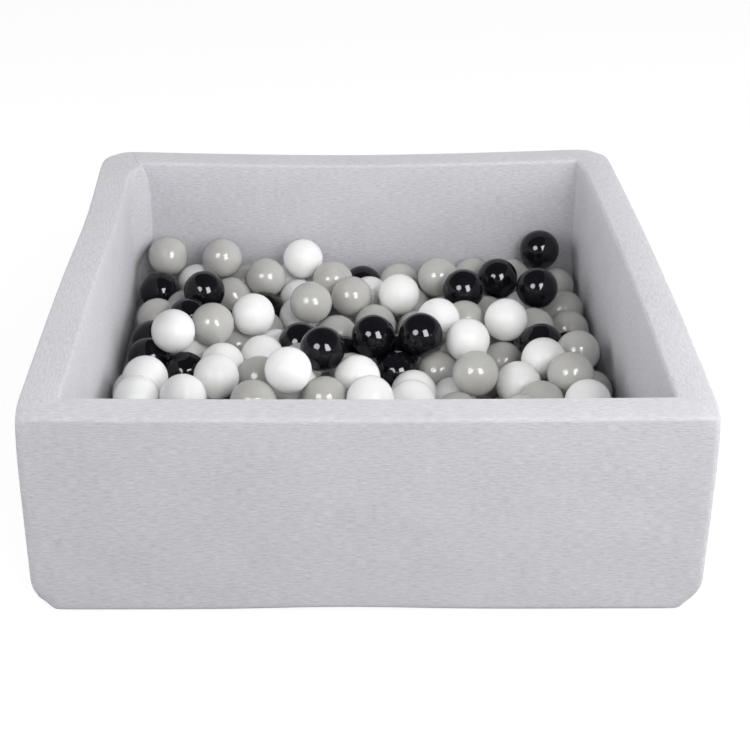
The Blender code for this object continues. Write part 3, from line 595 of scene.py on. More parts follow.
def tapeMaterial():
    # woven tape: brightness = colour x (0.9 + 0.125 x sin along x sin across) from 0.8 to 1, the same
    # product as bump
    material, tree, shader = newMaterial("wovenTape")
    place = addNode(tree, "ShaderNodeSeparateXYZ")
    tree.links.new(addNode(tree, "ShaderNodeUVMap", uv_map="cloth").outputs["UV"], place.inputs[0])
    waves = [mixNumbers(tree, "SINE", mixNumbers(tree, "MULTIPLY", place.outputs[k], 2 * math.pi / step), 0.0)
             for k, step in zip("XY", zipper["weave"])]
    weave = mixNumbers(tree, "MULTIPLY", *waves)
    low, high = tuple(0.8 * c for c in zipper["colour"]), zipper["colour"]
    colour = rampOf(tree, mixNumbers(tree, "MULTIPLY_ADD", weave, 0.5), ((0.1, low), (0.9, high)))
    tree.links.new(colour, shader.inputs["Base Color"])
    bumped(tree, shader, weave, 0.5, 0.0003)
    setInputs(shader, {"Roughness": 0.85})
    return material


def wireMaterial(name, colour, metallic, roughness):
    # one colour clouded by noise, with fine changes of gloss, for coils, thread and die-cast zinc
    material, tree, shader = newMaterial(name)
    place = objectPlace(tree)
    low, high = tuple(0.86 * c for c in colour), tuple(min(1.0, 1.08 * c) for c in colour)
    colour = rampOf(tree, noiseOf(tree, place, 400.0, 3.0), ((0.3, low), (0.7, high)))
    tree.links.new(colour, shader.inputs["Base Color"])
    glossed(tree, shader, place, 1500.0, roughness, (0.8, 1.25))
    setInputs(shader, {"Metallic": metallic})
    return material


tapeCloth = tapeMaterial()
coilNylon = wireMaterial("coilNylon", (0.66, 0.67, 0.69), 0.0, 0.40)
thread = wireMaterial("sewingThread", (0.52, 0.53, 0.56), 0.0, 0.70)
zinc = wireMaterial("castZinc", (0.62, 0.62, 0.64), 1.0, 0.34)


def tapeSurface(side, middleY):
    # the tape lies on the cover's hem and folds up to the chain: z = margin + (chain - margin) x smooth step
    steps = 26
    y = np.linspace(zipper["tapeReach"], zipper["tapeInner"], steps)
    rise = smoothStep((zipper["foldOut"] - y) / (zipper["foldOut"] - zipper["foldIn"]))
    z = zipper["marginZ"] + (zipper["chainZ"] - zipper["marginZ"]) * rise
    away = np.stack([-np.gradient(z), np.gradient(y)])
    away /= np.linalg.norm(away, axis=0)
    end = zipper["half"] + zipper["overrun"]
    x = np.concatenate([[-end], np.linspace(-end + 0.0003, end - 0.0003, 80), [end]])
    thick = np.full(len(x), zipper["tapeThick"] / 2)
    thick[[0, -1]] = 0.00001
    outline = np.concatenate([np.arange(steps), np.arange(steps)[::-1]])
    facing = np.repeat([-1.0, 1.0], steps)
    edge = np.stack([y[outline], z[outline]])[:, :, None] + (facing * away[:, outline])[:, :, None] * thick
    points = np.stack([np.broadcast_to(x, edge.shape[1:]), middleY + side * edge[0], edge[1]], -1)
    along = np.concatenate([[0], np.cumsum(np.hypot(np.diff(y), np.diff(z)))])[outline]
    uv = np.stack(np.broadcast_arrays(x[None], along[:, None]), -1)
    faces = gridFaces(len(outline), len(x), True, False)
    return points.reshape(-1, 3), faces if side > 0 else faces[:, ::-1], uv.reshape(-1, 2)


def coilSurface(side, middleY):
    # a nylon wire wound in a helix along x, as a tube of five sides
    perTurn, sides = 9, 5
    turns = int(2 * zipper["half"] / zipper["pitch"])
    angle = np.arange(turns * perTurn + 1) * 2 * math.pi / perTurn
    x = -zipper["half"] + angle * zipper["pitch"] / (2 * math.pi)
    around = np.arange(sides) * 2 * math.pi / sides
    radial = zipper["coilRadius"] - zipper["wire"] / 2 + zipper["wire"] / 2 * np.cos(around)
    turn = (angle + (math.pi if side > 0 else 0))[:, None]
    y = middleY + side * (zipper["coilY"] + np.cos(turn) * radial)
    z = zipper["chainZ"] + np.sin(turn) * radial
    points = np.stack([x[:, None] + zipper["wire"] / 2 * np.sin(around), y, z], -1).reshape(-1, 3)
    faces = gridFaces(len(angle), sides, False, True)
    ends = np.stack([np.zeros(sides - 2, int), np.arange(1, sides - 1), np.arange(2, sides)], -1)
    caps = np.concatenate([ends, ends[:, ::-1] + len(points) - sides])
    return points, faces if side > 0 else faces[:, ::-1], caps if side < 0 else caps[:, ::-1]


def stitchSurface(middleY):
    # two rows of stitches that hold the tapes, each a short thread sunk half into the cover
    length, pitch, radius = zipper["stitch"]
    count = int(2 * zipper["half"] / pitch)
    t = np.array([-1.0, -0.8, 0.0, 0.8, 1.0])
    thick = radius * np.array([0.15, 0.8, 1.0, 0.8, 0.15])
    around = np.arange(6) * math.pi / 3
    one = np.stack(np.broadcast_arrays((t * length / 2)[:, None], thick[:, None] * np.cos(around),
                                       thick[:, None] * np.sin(around)), -1).reshape(-1, 3)
    x = -zipper["half"] + pitch * (np.arange(count) + 0.5)
    middles = np.array([(place, middleY + side * zipper["stitchY"], 0.0) for side in (-1, 1) for place in x])
    points = (middles[:, None] + one[None]).reshape(-1, 3)
    faces = gridFaces(5, 6, False, True)
    return points, (faces[None] + len(one) * np.arange(len(middles))[:, None, None]).reshape(-1, 4)[:, ::-1]


def prism(outline, low, high, axis=2):
    # a closed plate over an anticlockwise outline, between two levels along an axis
    outline = np.asarray(outline, float)
    count = len(outline)
    level = np.repeat([low, high], count)[:, None]
    points = np.concatenate([np.tile(outline, (2, 1)), level], 1)
    if axis == 1:
        points = points[:, [0, 2, 1]]
    i = np.arange(count)
    faces = np.stack([i, (i + 1) % count, count + (i + 1) % count, count + i], -1)
    fan = np.stack([np.zeros(count - 2, int), i[1:-1], i[2:]], -1)
    caps = np.concatenate([fan[:, ::-1], fan + count])
    return (points, faces[:, ::-1], caps[:, ::-1]) if axis == 1 else (points, faces, caps)


def together(shapes):
    # several closed shapes as one mesh: points one after another, faces numbered on
    starts = np.cumsum([0] + [len(shape[0]) for shape in shapes])
    return (np.concatenate([shape[0] for shape in shapes]),
            np.concatenate([shape[1] + start for shape, start in zip(shapes, starts)]),
            np.concatenate([shape[2] + start for shape, start in zip(shapes, starts)]))


def rectangle(x0, x1, y0, y1):
    return [(x0, y0), (x1, y0), (x1, y1), (x0, y1)]


def circle(x, y, radius, count):
    # points x + r cos t, y + r sin t
    turn = np.arange(count) * 2 * math.pi / count
    return np.stack([x + radius * np.cos(turn), y + radius * np.sin(turn)], -1)


metal = {
    "nose": -0.3197,
    "pin": (-0.3107, 0.00185),
    "pinSize": (0.00045, 0.0023),  # radius and half length
    "plates": ((0.0033, 0.0042), (0.0064, 0.0073)),
    "plate": ((0.0, 0.0028), (0.0010, 0.0040), (0.0022, 0.0042), (0.0052, 0.0042), (0.0088, 0.0035),
              (0.0120, 0.0031)),
    "lips": ((0.0040, 0.0047), (0.0059, 0.0066)),
    "lipWidth": 0.0006,
    "post": (0.0003, 0.0035, 0.0005),
    "between": (0.0040, 0.0066),
    "lug": (0.0009, 0.0007, 0.0036, 0.00135),  # half width at its foot and head, and their heights
    "lugSide": (0.0019, 0.0026),
    "eye": (0.00075, 0.00115, 0.0016),  # inner and outer radius and half length
    "neck": (0.0009, 0.0040, 0.0009, 0.0017),  # from and to past the pin, and its two levels
    "tab": (0.0032, 0.0220, 0.0030),  # from and to past the pin, and half width
    "tabCorners": (0.0022, 0.0014),
    "tabPlates": ((0.0, 0.00098, 0.00162), (0.0008, 0.00085, 0.00175)),  # inset and levels
    "stop": (0.3170, 0.3200, 0.0032),
    "stopPost": (0.3173, 0.3197, 0.0005),
    "stopPlates": ((0.0036, 0.0042), (0.0064, 0.0070)),
}


def sliderShape(middleY):
    # two wedge plates with turned lips, the post between them, and lugs with a pin for the pull
    nose, (pinX, pinZ), half = metal["nose"], metal["pin"], metal["plate"]
    wedge = [(nose + x, middleY - y) for x, y in half] + [(nose + x, middleY + y) for x, y in half[::-1]]
    shapes = [prism(wedge, low, high) for low, high in metal["plates"]]
    start, end, across = metal["post"]
    post = rectangle(nose + start, nose + end, middleY - across, middleY + across)
    shapes.append(prism(post, *metal["between"]))
    foot, head, footZ, headZ = metal["lug"]
    lug = [(pinX - foot, footZ), (pinX - head, headZ), (pinX + head, headZ), (pinX + foot, footZ)]
    for side in (-1, 1):
        for low, high in metal["lips"]:
            rows = ((0.0, half[2:]), (metal["lipWidth"], half[:1:-1]))
            lip = [(nose + x, middleY + side * (y - step)) for step, row in rows for x, y in row]
            shapes.append(prism(lip[::side], low, high))
        shapes.append(prism(lug, *sorted(middleY + side * y for y in metal["lugSide"]), axis=1))
    radius, reach = metal["pinSize"]
    shapes.append(prism(circle(pinX, pinZ, radius, 12), middleY - reach, middleY + reach, axis=1))
    return together(shapes)


def pullShape(middleY):
    # an eye rolled round the pin, a neck and a long rounded tab with a raised panel
    (pinX, pinZ), (hole, rim, across) = metal["pin"], metal["eye"]
    steps = 18
    inner, outer = circle(pinX, pinZ, hole, steps), circle(pinX, pinZ, rim, steps)
    shapes = [prism([inner[k], outer[k], outer[k - steps + 1], inner[k - steps + 1]], middleY - across,
                    middleY + across, axis=1) for k in range(steps)]
    start, end, low, high = metal["neck"]
    shapes.append(prism(rectangle(pinX + start, pinX + end, middleY - across, middleY + across), low, high))
    start, end, half = pinX + metal["tab"][0], pinX + metal["tab"][1], metal["tab"][2]
    far, near = metal["tabCorners"]
    corners = [((end - far, middleY - half + far), far, -90), ((end - far, middleY + half - far), far, 0),
               ((start + near, middleY + half - near), near, 90),
               ((start + near, middleY - half + near), near, 180)]
    turns = np.radians(np.linspace(0, 90, 6))
    for inset, low, high in metal["tabPlates"]:
        outline = [(x + (radius - inset) * math.cos(a), y + (radius - inset) * math.sin(a))
                   for (x, y), radius, first in corners for a in turns + math.radians(first)]
        shapes.append(prism(outline, low, high))
    return together(shapes)


def stopShape(middleY):
    # the end stop: two plates clipped round the chain on a post
    start, end, across = metal["stop"]
    shapes = [prism(rectangle(start, end, middleY - across, middleY + across), low, high)
              for low, high in metal["stopPlates"]]
    start, end, across = metal["stopPost"]
    post = prism(rectangle(start, end, middleY - across, middleY + across), *metal["between"])
    return together(shapes + [post])


def hardened(piece, width):
    # sharp edges turned over by a small bevel
    bevel = piece.modifiers.new("edges", "BEVEL")
    bevel.width, bevel.segments, bevel.limit_method = width, 2, "ANGLE"
    return piece


for label, body, middleY in (("wall", "pit_walls", pit["zipY"]), ("mat", "floor_mat", mat["zipY"])):
    for side, word in ((-1, "front"), (1, "back")):
        node = label + "_zip_tape_" + word
        points, faces, uv = tapeSurface(side, middleY)
        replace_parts(meshPiece(node + "_web", points, faces, body, tapeCloth, uv), node)
        points, faces, caps = coilSurface(side, middleY)
        coil = meshPiece(node + "_coil", points, faces, body, coilNylon, triangles=caps)
        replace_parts(coil, node)
    points, faces = stitchSurface(middleY)
    meshPiece(label + "_zip_stitches", points, faces, body, thread)
    for part, carrier, shape, width in (("slider", label + "_slider", sliderShape, 0.00012),
                                        ("pull", label + "_pull", pullShape, 0.00010),
                                        ("end_stop", body, stopShape, 0.00012)):
        points, faces, caps = shape(middleY)
        piece = meshPiece(label + "_zip_" + part + "_metal", points, faces, carrier, zinc,
                          smooth=False, triangles=caps)
        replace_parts(hardened(piece, width), label + "_zip_" + part)
print("stage: zips")


# balls: their size, the seam bead and gate mark of blown plastic, and the fineness of seen and hidden ones
ball = {
    "diameter": 0.070,
    "seamHeight": 0.00022,
    "seamWidth": 0.0009,
    "markRows": (0.0032, 0.0026, 0.0022, 0.0018, 0.0014, 0.0008, 0.0),
    "markRing": 0.0020,
    "markWidth": 0.0005,
    "markHeight": 0.00018,
    "latitudes": 40,
    "longitudes": 56,
    "hiddenLatitudes": 16,
    "hiddenLongitudes": 24,
}
levelShares = {"floor": 0.50, "low": 0.60, "half": 0.90, "middle": 1.05, "upper": 1.20, "high": 1.35,
               "peak": 1.75}

# colour, share across and share down the picture, level of the centre above the mat, lies free on top
seenBallShares = (
    ("grey", 0.226, 0.343, "upper", True),
    ("grey", 0.296, 0.344, "high", True),
    ("white", 0.262, 0.376, "floor", False),
    ("black", 0.272, 0.389, "upper", True),
    ("black", 0.213, 0.389, "low", False),
    ("grey", 0.209, 0.425, "floor", False),
    ("grey", 0.249, 0.413, "floor", False),
    ("black", 0.253, 0.424, "half", False),
    ("white", 0.231, 0.442, "high", True),
    ("grey", 0.283, 0.432, "high", False),
    ("grey", 0.309, 0.395, "low", False),
    ("white", 0.335, 0.421, "high", True),
    ("black", 0.203, 0.455, "floor", False),
    ("black", 0.197, 0.478, "low", False),
    ("white", 0.193, 0.503, "middle", False),
    ("white", 0.184, 0.534, "middle", False),
    ("white", 0.243, 0.532, "upper", True),
    ("black", 0.246, 0.498, "floor", False),
    ("white", 0.253, 0.469, "floor", False),
    ("white", 0.300, 0.486, "middle", False),
    ("white", 0.288, 0.505, "upper", True),
    ("grey", 0.317, 0.464, "floor", False),
    ("white", 0.352, 0.475, "middle", False),
    ("grey", 0.347, 0.503, "middle", False),
    ("grey", 0.339, 0.537, "upper", False),
    ("white", 0.381, 0.501, "peak", True),
    ("white", 0.397, 0.517, "middle", False),
    ("black", 0.398, 0.459, "middle", True),
    ("grey", 0.404, 0.485, "middle", False),
    ("black", 0.433, 0.469, "peak", True),
    ("black", 0.459, 0.476, "floor", False),
    ("grey", 0.450, 0.447, "floor", False),
    ("white", 0.399, 0.422, "low", False),
    ("white", 0.400, 0.397, "low", False),
    ("grey", 0.415, 0.404, "high", True),
    ("grey", 0.442, 0.375, "half", False),
    ("grey", 0.468, 0.395, "middle", False),
    ("white", 0.404, 0.345, "upper", True),
    ("grey", 0.355, 0.375, "half", False),
    ("black", 0.355, 0.414, "floor", False),
    ("grey", 0.351, 0.444, "floor", False),
    ("white", 0.491, 0.395, "low", False),
    ("grey", 0.500, 0.432, "low", False),
    ("white", 0.531, 0.395, "upper", True),
    ("grey", 0.533, 0.377, "low", False),
    ("grey", 0.587, 0.376, "middle", True),
    ("grey", 0.549, 0.411, "floor", False),
    ("grey", 0.593, 0.415, "floor", False),
    ("white", 0.584, 0.425, "high", False),
    ("black", 0.617, 0.389, "high", True),
    ("grey", 0.556, 0.443, "floor", False),
    ("black", 0.499, 0.450, "upper", True),
    ("black", 0.561, 0.447, "high", True),
    ("black", 0.529, 0.473, "floor", False),
    ("black", 0.531, 0.495, "low", False),
    ("white", 0.475, 0.503, "upper", False),
    ("white", 0.489, 0.535, "upper", True),
    ("white", 0.545, 0.526, "low", False),
    ("white", 0.547, 0.539, "half", False),
    ("grey", 0.588, 0.497, "floor", False),
    ("black", 0.662, 0.373, "middle", True),
    ("black", 0.719, 0.333, "high", True),
    ("black", 0.716, 0.384, "high", True),
    ("grey", 0.679, 0.370, "low", False),
    ("grey", 0.742, 0.383, "floor", False),
    ("grey", 0.751, 0.414, "floor", False),
    ("grey", 0.649, 0.421, "floor", False),
    ("grey", 0.619, 0.429, "half", False),
    ("white", 0.677, 0.428, "high", True),
    ("white", 0.695, 0.413, "floor", False),
    ("grey", 0.708, 0.437, "half", False),
    ("white", 0.624, 0.455, "upper", True),
    ("grey", 0.633, 0.502, "high", True),
    ("white", 0.601, 0.530, "floor", False),
    ("grey", 0.615, 0.553, "low", False),
    ("grey", 0.669, 0.483, "floor", False),
    ("white", 0.692, 0.512, "middle", False),
    ("white", 0.725, 0.480, "upper", True),
    ("black", 0.720, 0.459, "middle", False),
    ("grey", 0.759, 0.442, "floor", False),
    ("grey", 0.769, 0.469, "upper", False),
    ("grey", 0.761, 0.500, "high", True),
    ("grey", 0.787, 0.523, "floor", False),
    ("white", 0.785, 0.541, "middle", False),
    ("grey", 0.727, 0.540, "middle", False),
    ("grey", 0.433, 0.536, "high", False),
)

bed = {
    "looseGap": 0.0006, "packedSink": 0.0006, "packedReach": 0.012, "wallGap": 0.0012, "matTop": 0.053,
    "frontFree": 15, "frontRows": 3, "frontLevel": 1.18, "hiddenRow": 0.92, "crowded": 0.71,
    "hiddenCrowded": 0.76, "filledSpacing": 0.90, "fillColumns": 80, "rounds": 900, "sinkStep": 0.0001,
    "sightHold": 0.25, "easeRate": 1.15, "pullShare": 0.25, "pushShare": 0.45, "shoveShare": 0.3,
    "wallShare": 0.6, "stepShare": 0.5,
    "frontColours": ("white", "black", "grey", "grey", "black", "grey", "grey", "white", "white", "grey",
                     "white", "white", "black", "white", "grey"),
    "hiddenColours": ("white", "grey", "black", "white", "grey"),
}
eye = {
    "place": 2 * pit["half"] * np.array([-0.06222, -2.19333, 1.39556]),
    "pitch": math.radians(30.08),
    "yaw": math.radians(-0.18),
    "focalShare": 1.929,
    "centreShare": (0.4384, 0.4957),
}
reach = pit["innerHalf"] - ball["diameter"] / 2 - bed["wallGap"]
frontColumns = round(2 * reach / ball["diameter"])
hiddenRows = 1 + round(2 * reach / (bed["hiddenRow"] * ball["diameter"]))


def sightLines(shares):
    # unit directions from the eye through places in the picture
    across = (shares[:, 0] - eye["centreShare"][0]) / eye["focalShare"]
    up = (eye["centreShare"][1] - shares[:, 1]) / eye["focalShare"]
    ahead = math.cos(eye["pitch"]) + up * math.sin(eye["pitch"])
    rise = up * math.cos(eye["pitch"]) - math.sin(eye["pitch"])
    turnCos, turnSin = math.cos(eye["yaw"]), math.sin(eye["yaw"])
    lines = np.stack([turnCos * across - turnSin * ahead, turnSin * across + turnCos * ahead, rise], axis=1)
    return lines / np.linalg.norm(lines, axis=1)[:, None]


def planGrid(columns, rows, low, high, height):
    # staggered rows of places over the floor
    row, column = np.meshgrid(np.arange(rows), np.arange(columns), indexing="ij")
    x = -reach + (column + 0.5 * (row % 2)) * 2 * reach / (columns - 0.5)
    y = low + row * (high - low) / (rows - 1)
    return np.stack([x.ravel(), y.ravel(), np.full(x.size, height)], 1)


def farFrom(places, others, least):
    # the places whose nearest other lies further off than a least distance
    gaps = np.linalg.norm(places[:, None] - others[None], axis=2).min(axis=1)
    return places[gaps > least]


def settled(places, sight, loose, rounds, weight, hold):
    # pushes balls apart, lets them sink, keeps seen ones on their sight lines and clears the way up
    size = ball["diameter"]
    radius = size / 2
    places = places.copy()
    count, seen = len(places), len(sight)
    nearLoose = loose[:, None] | loose[None, :]
    spacing = np.where(nearLoose, size + bed["looseGap"], size - bed["packedSink"])
    low = np.array([-pit["innerHalf"], -pit["innerHalf"], bed["matTop"]]) + radius + bed["wallGap"]
    low[2] -= bed["wallGap"] - bed["looseGap"]
    high = np.array([reach] * 2 + [pit["height"]])
    own = np.eye(count) * 2 * pit["half"]
    for step in range(rounds):
        ease = max(0.0, 1 - bed["easeRate"] * step / rounds)
        between = places[:, None] - places[None]
        distance = np.sqrt((between**2).sum(axis=2)) + own
        push = np.clip(spacing - distance, 0, None)
        close = ~nearLoose & (distance < spacing + bed["packedReach"])
        pull = np.where(close, np.clip(distance - spacing, 0, None), 0) * bed["pullShare"] * ease
        move = (((push - pull) / distance)[:, :, None] * between).sum(axis=1) * bed["pushShare"]
        plan = np.sqrt((between[:, :, :2]**2).sum(axis=2)) + own
        plan = np.maximum(plan, bed["looseGap"])
        rise = between[:, :, 2]
        blocks = (loose[:, None] & (rise < 0)) | (loose[None] & (rise > 0))
        blocks &= (np.abs(rise) < size) & (plan > bed["crowded"] * size)
        shove = np.where(blocks, np.clip(spacing - plan, 0, None), 0) / plan
        move[:, :2] += (shove[:, :, None] * between[:, :, :2]).sum(axis=1) * bed["shoveShare"]
        move += np.clip(low - places, 0, None) * bed["wallShare"]
        move -= np.clip(places - high, 0, None) * bed["wallShare"]
        move[:, 2] -= weight * ease
        offset = places[:seen] - eye["place"]
        onLine = (offset * sight).sum(axis=1)[:, None] * sight
        move[:seen] += (onLine - offset) * hold * ease
        places += move * bed["stepShare"]
    places[:, :2] = np.clip(places[:, :2], low[:2], high[:2])
    places[:, 2] = np.maximum(places[:, 2], low[2])
    return places


def filledFloor(places):
    # adds a floor ball wherever one more fits, the roomiest hole first
    level = bed["matTop"] + ball["diameter"] / 2
    spots = planGrid(bed["fillColumns"], bed["fillColumns"], -reach, reach, level)
    room = np.linalg.norm(spots[:, None] - places[None], axis=2).min(axis=1)
    while room.max() > bed["filledSpacing"] * ball["diameter"]:
        spot = spots[np.argmax(room)]
        places = np.vstack([places, spot])
        room = np.minimum(room, np.linalg.norm(spots - spot, axis=1))
    return places


def ballPlaces():
    # seen balls start where their sight lines meet their level, hidden ones on staggered rows
    size = ball["diameter"]
    shares = np.array([row[1:3] for row in seenBallShares])
    levels = np.array([levelShares[row[3]] for row in seenBallShares]) * size + bed["matTop"]
    sight = sightLines(shares)
    seen = eye["place"] + ((levels - eye["place"][2]) / sight[:, 2])[:, None] * sight
    seen[:, :2] = np.clip(seen[:, :2], -reach, reach)
    front = planGrid(frontColumns, bed["frontRows"], -reach, -reach + 2 * size,
                     bed["matTop"] + bed["frontLevel"] * size)
    front = farFrom(front, seen, bed["crowded"] * size)
    floor = planGrid(frontColumns + 1, hiddenRows, -reach, reach, bed["matTop"] + size / 2)
    floor = farFrom(floor, seen, bed["hiddenCrowded"] * size)
    places = np.vstack([seen, front, floor])
    count, top = len(seen), len(seen) + len(front)
    packed = np.zeros(len(places), bool)
    places = settled(places, sight, packed, bed["rounds"], bed["sinkStep"], bed["sightHold"])
    places = filledFloor(places)
    hidden = bed["hiddenColours"]
    colours = [row[0] for row in seenBallShares]
    colours += [hidden[(7 * i) % len(hidden)] for i in range(len(places) - count)]
    free = np.zeros(len(places), bool)
    free[:count] = [row[4] for row in seenBallShares]
    between = places[:, None] - places[None]
    plan = np.sqrt((between[:, :, :2]**2).sum(axis=2))
    clear = np.where(between[:, :, 2] < 0, plan - size, 2 * pit["half"]).min(axis=1)[count:top]
    clearest = count + np.sort(np.argsort(-clear)[:bed["frontFree"]])
    free[clearest] = True
    for i, colour in zip(clearest, bed["frontColours"]):
        colours[i] = colour
    places = settled(places, sight, free, bed["rounds"], bed["sinkStep"] / 2, bed["sightHold"])
    return places, colours, free


plasticLook = {
    "white": {"colour": (0.92, 0.92, 0.915), "roughness": 0.20, "clouds": 0.015, "specular": 0.10,
              "through": 0.45},
    "grey": {"colour": (0.530, 0.525, 0.505), "roughness": 0.14, "clouds": 0.03, "specular": 0.35,
             "through": 0.20},
    "black": {"colour": (0.0055, 0.0055, 0.0080), "roughness": 0.08, "clouds": 0.2, "specular": 0.36,
              "through": 0.0},
}


def plasticMaterial(name, look):
    # blown polyethylene: one colour with faint clouds, a fine bump and small changes of gloss
    material, tree, shader = newMaterial(name)
    place = objectPlace(tree)
    low, high = (tuple(c * (1 + sign * look["clouds"]) for c in look["colour"]) for sign in (-1, 1))
    colour = rampOf(tree, noiseOf(tree, place, 38.0, 3.0), ((0.35, low), (0.65, high)))
    tree.links.new(colour, shader.inputs["Base Color"])
    glossed(tree, shader, place, 120.0, look["roughness"], (0.85, 1.2))
    bumped(tree, shader, noiseOf(tree, place, 260.0, 2.0), 0.05, 0.0004)
    setInputs(shader, {"IOR": 1.5, "Specular IOR Level": look["specular"],
                       "Subsurface Weight": look["through"], "Subsurface Radius": (1.0, 1.0, 1.0),
                       "Subsurface Scale": 0.012})
    return material


plastics = {colour: plasticMaterial(colour + "BallPlastic", look) for colour, look in plasticLook.items()}


def ballShell(latitudes, longitudes):
    # a sphere whose radius rises by a thin bead at the equator, the mould's parting seam:
    # r = R + height x exp(-(z / width)^2), with rows crowded towards the equator,
    # and by a small ring at one pole, the mark of the blow pin: + mark x exp(-((s - ring) / width)^2)
    radius = ball["diameter"] / 2
    t = np.linspace(-1, 1, latitudes)
    latitude = (math.pi / 2) * (0.55 * t + 0.45 * t**3)
    fromPole = np.array(ball["markRows"]) / radius
    latitude = np.concatenate([latitude[latitude < math.pi / 2 - fromPole[0]], math.pi / 2 - fromPole])
    angle = np.linspace(0, 2 * math.pi, longitudes, endpoint=False)
    swell = radius + ball["seamHeight"] * np.exp(-(radius * latitude / ball["seamWidth"]) ** 2)
    s = radius * (math.pi / 2 - latitude)
    swell += ball["markHeight"] * np.exp(-((s - ball["markRing"]) / ball["markWidth"]) ** 2)
    x = (swell * np.cos(latitude))[:, None] * np.cos(angle)[None]
    y = (swell * np.cos(latitude))[:, None] * np.sin(angle)[None]
    z = np.repeat((swell * np.sin(latitude))[:, None], longitudes, 1)
    return np.stack([x, y, z], -1).reshape(-1, 3), gridFaces(len(latitude), longitudes, False, True)[:, ::-1]


def anyTurn():
    # a turn drawn evenly from all turns, as a matrix from a random unit quaternion
    turn = rng.normal(size=4)
    a, b, c, d = turn / np.linalg.norm(turn)
    return np.array([[1 - 2 * (c * c + d * d), 2 * (b * c - a * d), 2 * (b * d + a * c)],
                     [2 * (b * c + a * d), 1 - 2 * (b * b + d * d), 2 * (c * d - a * b)],
                     [2 * (b * d - a * c), 2 * (c * d + a * b), 1 - 2 * (b * b + c * c)]])


places, colours, loose = ballPlaces()
print("stage: balls settled", len(places))
shell, shellFaces = ballShell(ball["latitudes"], ball["longitudes"])
plainShell, plainFaces = ballShell(ball["hiddenLatitudes"], ball["hiddenLongitudes"])
turns = [anyTurn() for _ in places]
for number, i in enumerate(np.flatnonzero(loose)):
    name = "%s_ball_%02d" % (colours[i], number + 1)
    piece = meshPiece(name + "_shell", shell @ turns[i].T + places[i], shellFaces, name,
                      plastics[colours[i]])
    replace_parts(piece, name)
seenCount = len(seenBallShares)
for colour in ("white", "grey", "black"):
    for label, template, templateFaces, chosen in (
            ("upper", shell, shellFaces, lambda i: i < seenCount),
            ("lower", plainShell, plainFaces, lambda i: i >= seenCount)):
        members = [i for i in range(len(places)) if colours[i] == colour and not loose[i] and chosen(i)]
        allPoints = np.concatenate([template @ turns[i].T + places[i] for i in members])
        allFaces = np.concatenate([templateFaces + k * len(template) for k in range(len(members))])
        piece = meshPiece("packed_" + label + "_" + colour, allPoints, allFaces, "ball_bed",
                          plastics[colour])
        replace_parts(piece, "packed_balls")
print("stage: balls built")


# camera of the photo
camera = bpy.data.cameras.new("photoCamera")
cameraObject = bpy.data.objects.new("photoCamera", camera)
bpy.context.scene.collection.objects.link(cameraObject)
camera.sensor_width = 36.0
camera.lens = 36.0 * eye["focalShare"]
camera.shift_x = 0.5 - eye["centreShare"][0]
camera.shift_y = eye["centreShare"][1] - 0.5
camera.clip_start, camera.clip_end = 0.05, 60.0
cameraObject.location = eye["place"]
cameraObject.rotation_euler = (math.pi / 2 - eye["pitch"], 0.0, eye["yaw"])
bpy.context.scene.camera = cameraObject

light = {
    "sky": 0.02,
    "horizon": 1.20,
    "wallTop": (0.50, 0.70),  # from full walls to none, as heights on the sphere of directions
    "glossyRoom": ((0.12, (0.85, 0.85, 0.85)), (0.42, (0.10, 0.10, 0.11))),
    "fills": {
        "front": ((0.88, -2.12, 1.84), 37.0, 1.40),
        "left": ((-2.20, -0.30, 1.30), 16.5, 1.60),
        "right": ((2.20, -0.30, 1.30), 28.5, 1.60),
    },
    "glints": {
        "left": ((-1.374, -1.844, 1.834), 78.0, 1.45, 1.45, "DISK"),
        "right": ((1.162, -2.066, 1.733), 125.0, 1.15, 1.75, "RECTANGLE"),
    },
}


def softLamp(name, place, watts, width, height=1.0, shape="SQUARE", target=(0.0, 0.0, 0.15)):
    # an area lamp turned towards the target: tilt = acos(-dz / length), turn = atan2(dy, dx) - a quarter
    lamp = bpy.data.lights.new(name, "AREA")
    lamp.shape = shape
    lamp.size = width
    lamp.size_y = height
    lamp.energy = watts
    made = bpy.data.objects.new(name, lamp)
    bpy.context.scene.collection.objects.link(made)
    made.location = place
    direction = np.array(target) - np.array(place)
    length = np.linalg.norm(direction)
    turn = math.atan2(direction[1], direction[0]) - math.pi / 2
    made.rotation_euler = (math.acos(-direction[2] / length), 0.0, turn)
    return made


for name, lamp in light["fills"].items():
    softLamp(name + "Fill", *lamp).visible_glossy = False
# the two softboxes that show in the balls, at a strength of their own
for name, lamp in light["glints"].items():
    softLamp(name + "Glint", *lamp).visible_diffuse = False

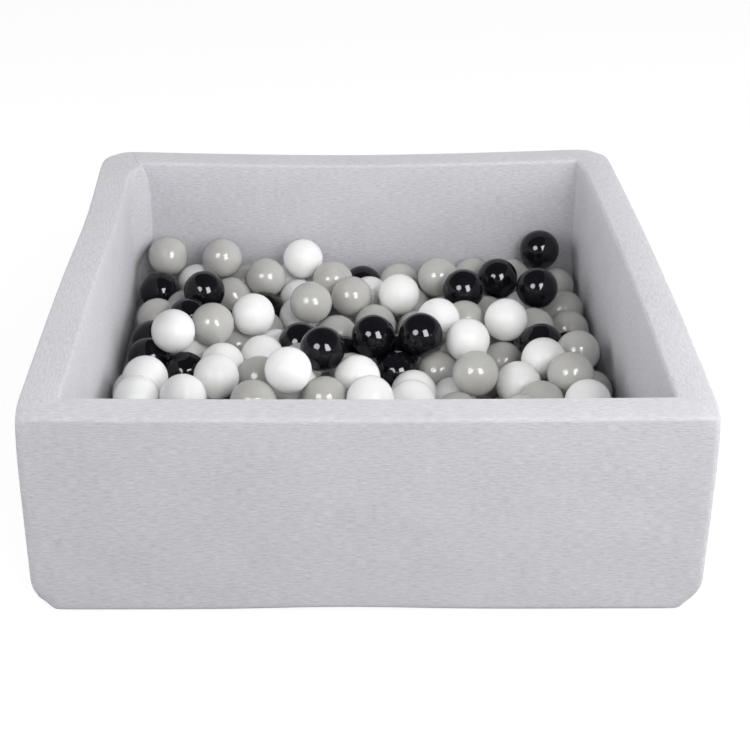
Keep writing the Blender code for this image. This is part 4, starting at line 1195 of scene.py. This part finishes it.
world = bpy.data.worlds.new("studio")
bpy.context.scene.world = world
world.use_nodes = True
tree = world.node_tree
background = tree.nodes["Background"]
setInputs(background, {"Strength": 1.0})
white = addNode(tree, "ShaderNodeBackground", Color=(1, 1, 1, 1), Strength=1.0)
# the room is brighter round its walls than above; glossy rays see a white backdrop and a dim ceiling
rise = addNode(tree, "ShaderNodeSeparateXYZ")
tree.links.new(addNode(tree, "ShaderNodeTexCoord").outputs["Generated"], rise.inputs[0])
grey = ((light["sky"] + light["horizon"],) * 3, (light["sky"],) * 3)
room = rampOf(tree, rise.outputs["Z"], tuple(zip(light["wallTop"], grey)))
tree.links.new(room, background.inputs["Color"])
dim = addNode(tree, "ShaderNodeBackground")
tree.links.new(rampOf(tree, rise.outputs["Z"], light["glossyRoom"]), dim.inputs["Color"])
seenRoom = byRay(tree, "Is Camera Ray", byRay(tree, "Is Glossy Ray", background, dim), white)
tree.links.new(seenRoom.outputs[0], tree.nodes["World Output"].inputs["Surface"])

# floor: a mid grey that takes the object's shadow, brought up to white for the camera alone by a glow
ground = {"colour": (0.20, 0.20, 0.20, 1), "roughness": 0.9, "glow": 0.86, "half": 12.0, "under": 0.0005}
floorMaterial, tree, shader = newMaterial("paleFloor")
setInputs(shader, {"Base Color": ground["colour"], "Roughness": ground["roughness"],
                   "Specular IOR Level": 0.0})
glow = addNode(tree, "ShaderNodeEmission", Strength=ground["glow"])
dark = addNode(tree, "ShaderNodeEmission", Strength=0.0)
both = addNode(tree, "ShaderNodeAddShader")
tree.links.new(shader.outputs[0], both.inputs[0])
tree.links.new(byRay(tree, "Is Camera Ray", dark, glow).outputs[0], both.inputs[1])
tree.links.new(both.outputs[0], tree.nodes["Material Output"].inputs["Surface"])
mesh = bpy.data.meshes.new("floor")
corners = [(x * ground["half"], y * ground["half"], -ground["under"]) for x, y in rectangle(-1, 1, -1, 1)]
mesh.from_pydata(corners, [], [(0, 1, 2, 3)])
mesh.materials.append(floorMaterial)
floor = bpy.data.objects.new("floor", mesh)
bpy.context.scene.collection.objects.link(floor)

bpy.context.scene.view_settings.view_transform = "Standard"
print("stage: camera and light")

bpy.context.view_layer.update()
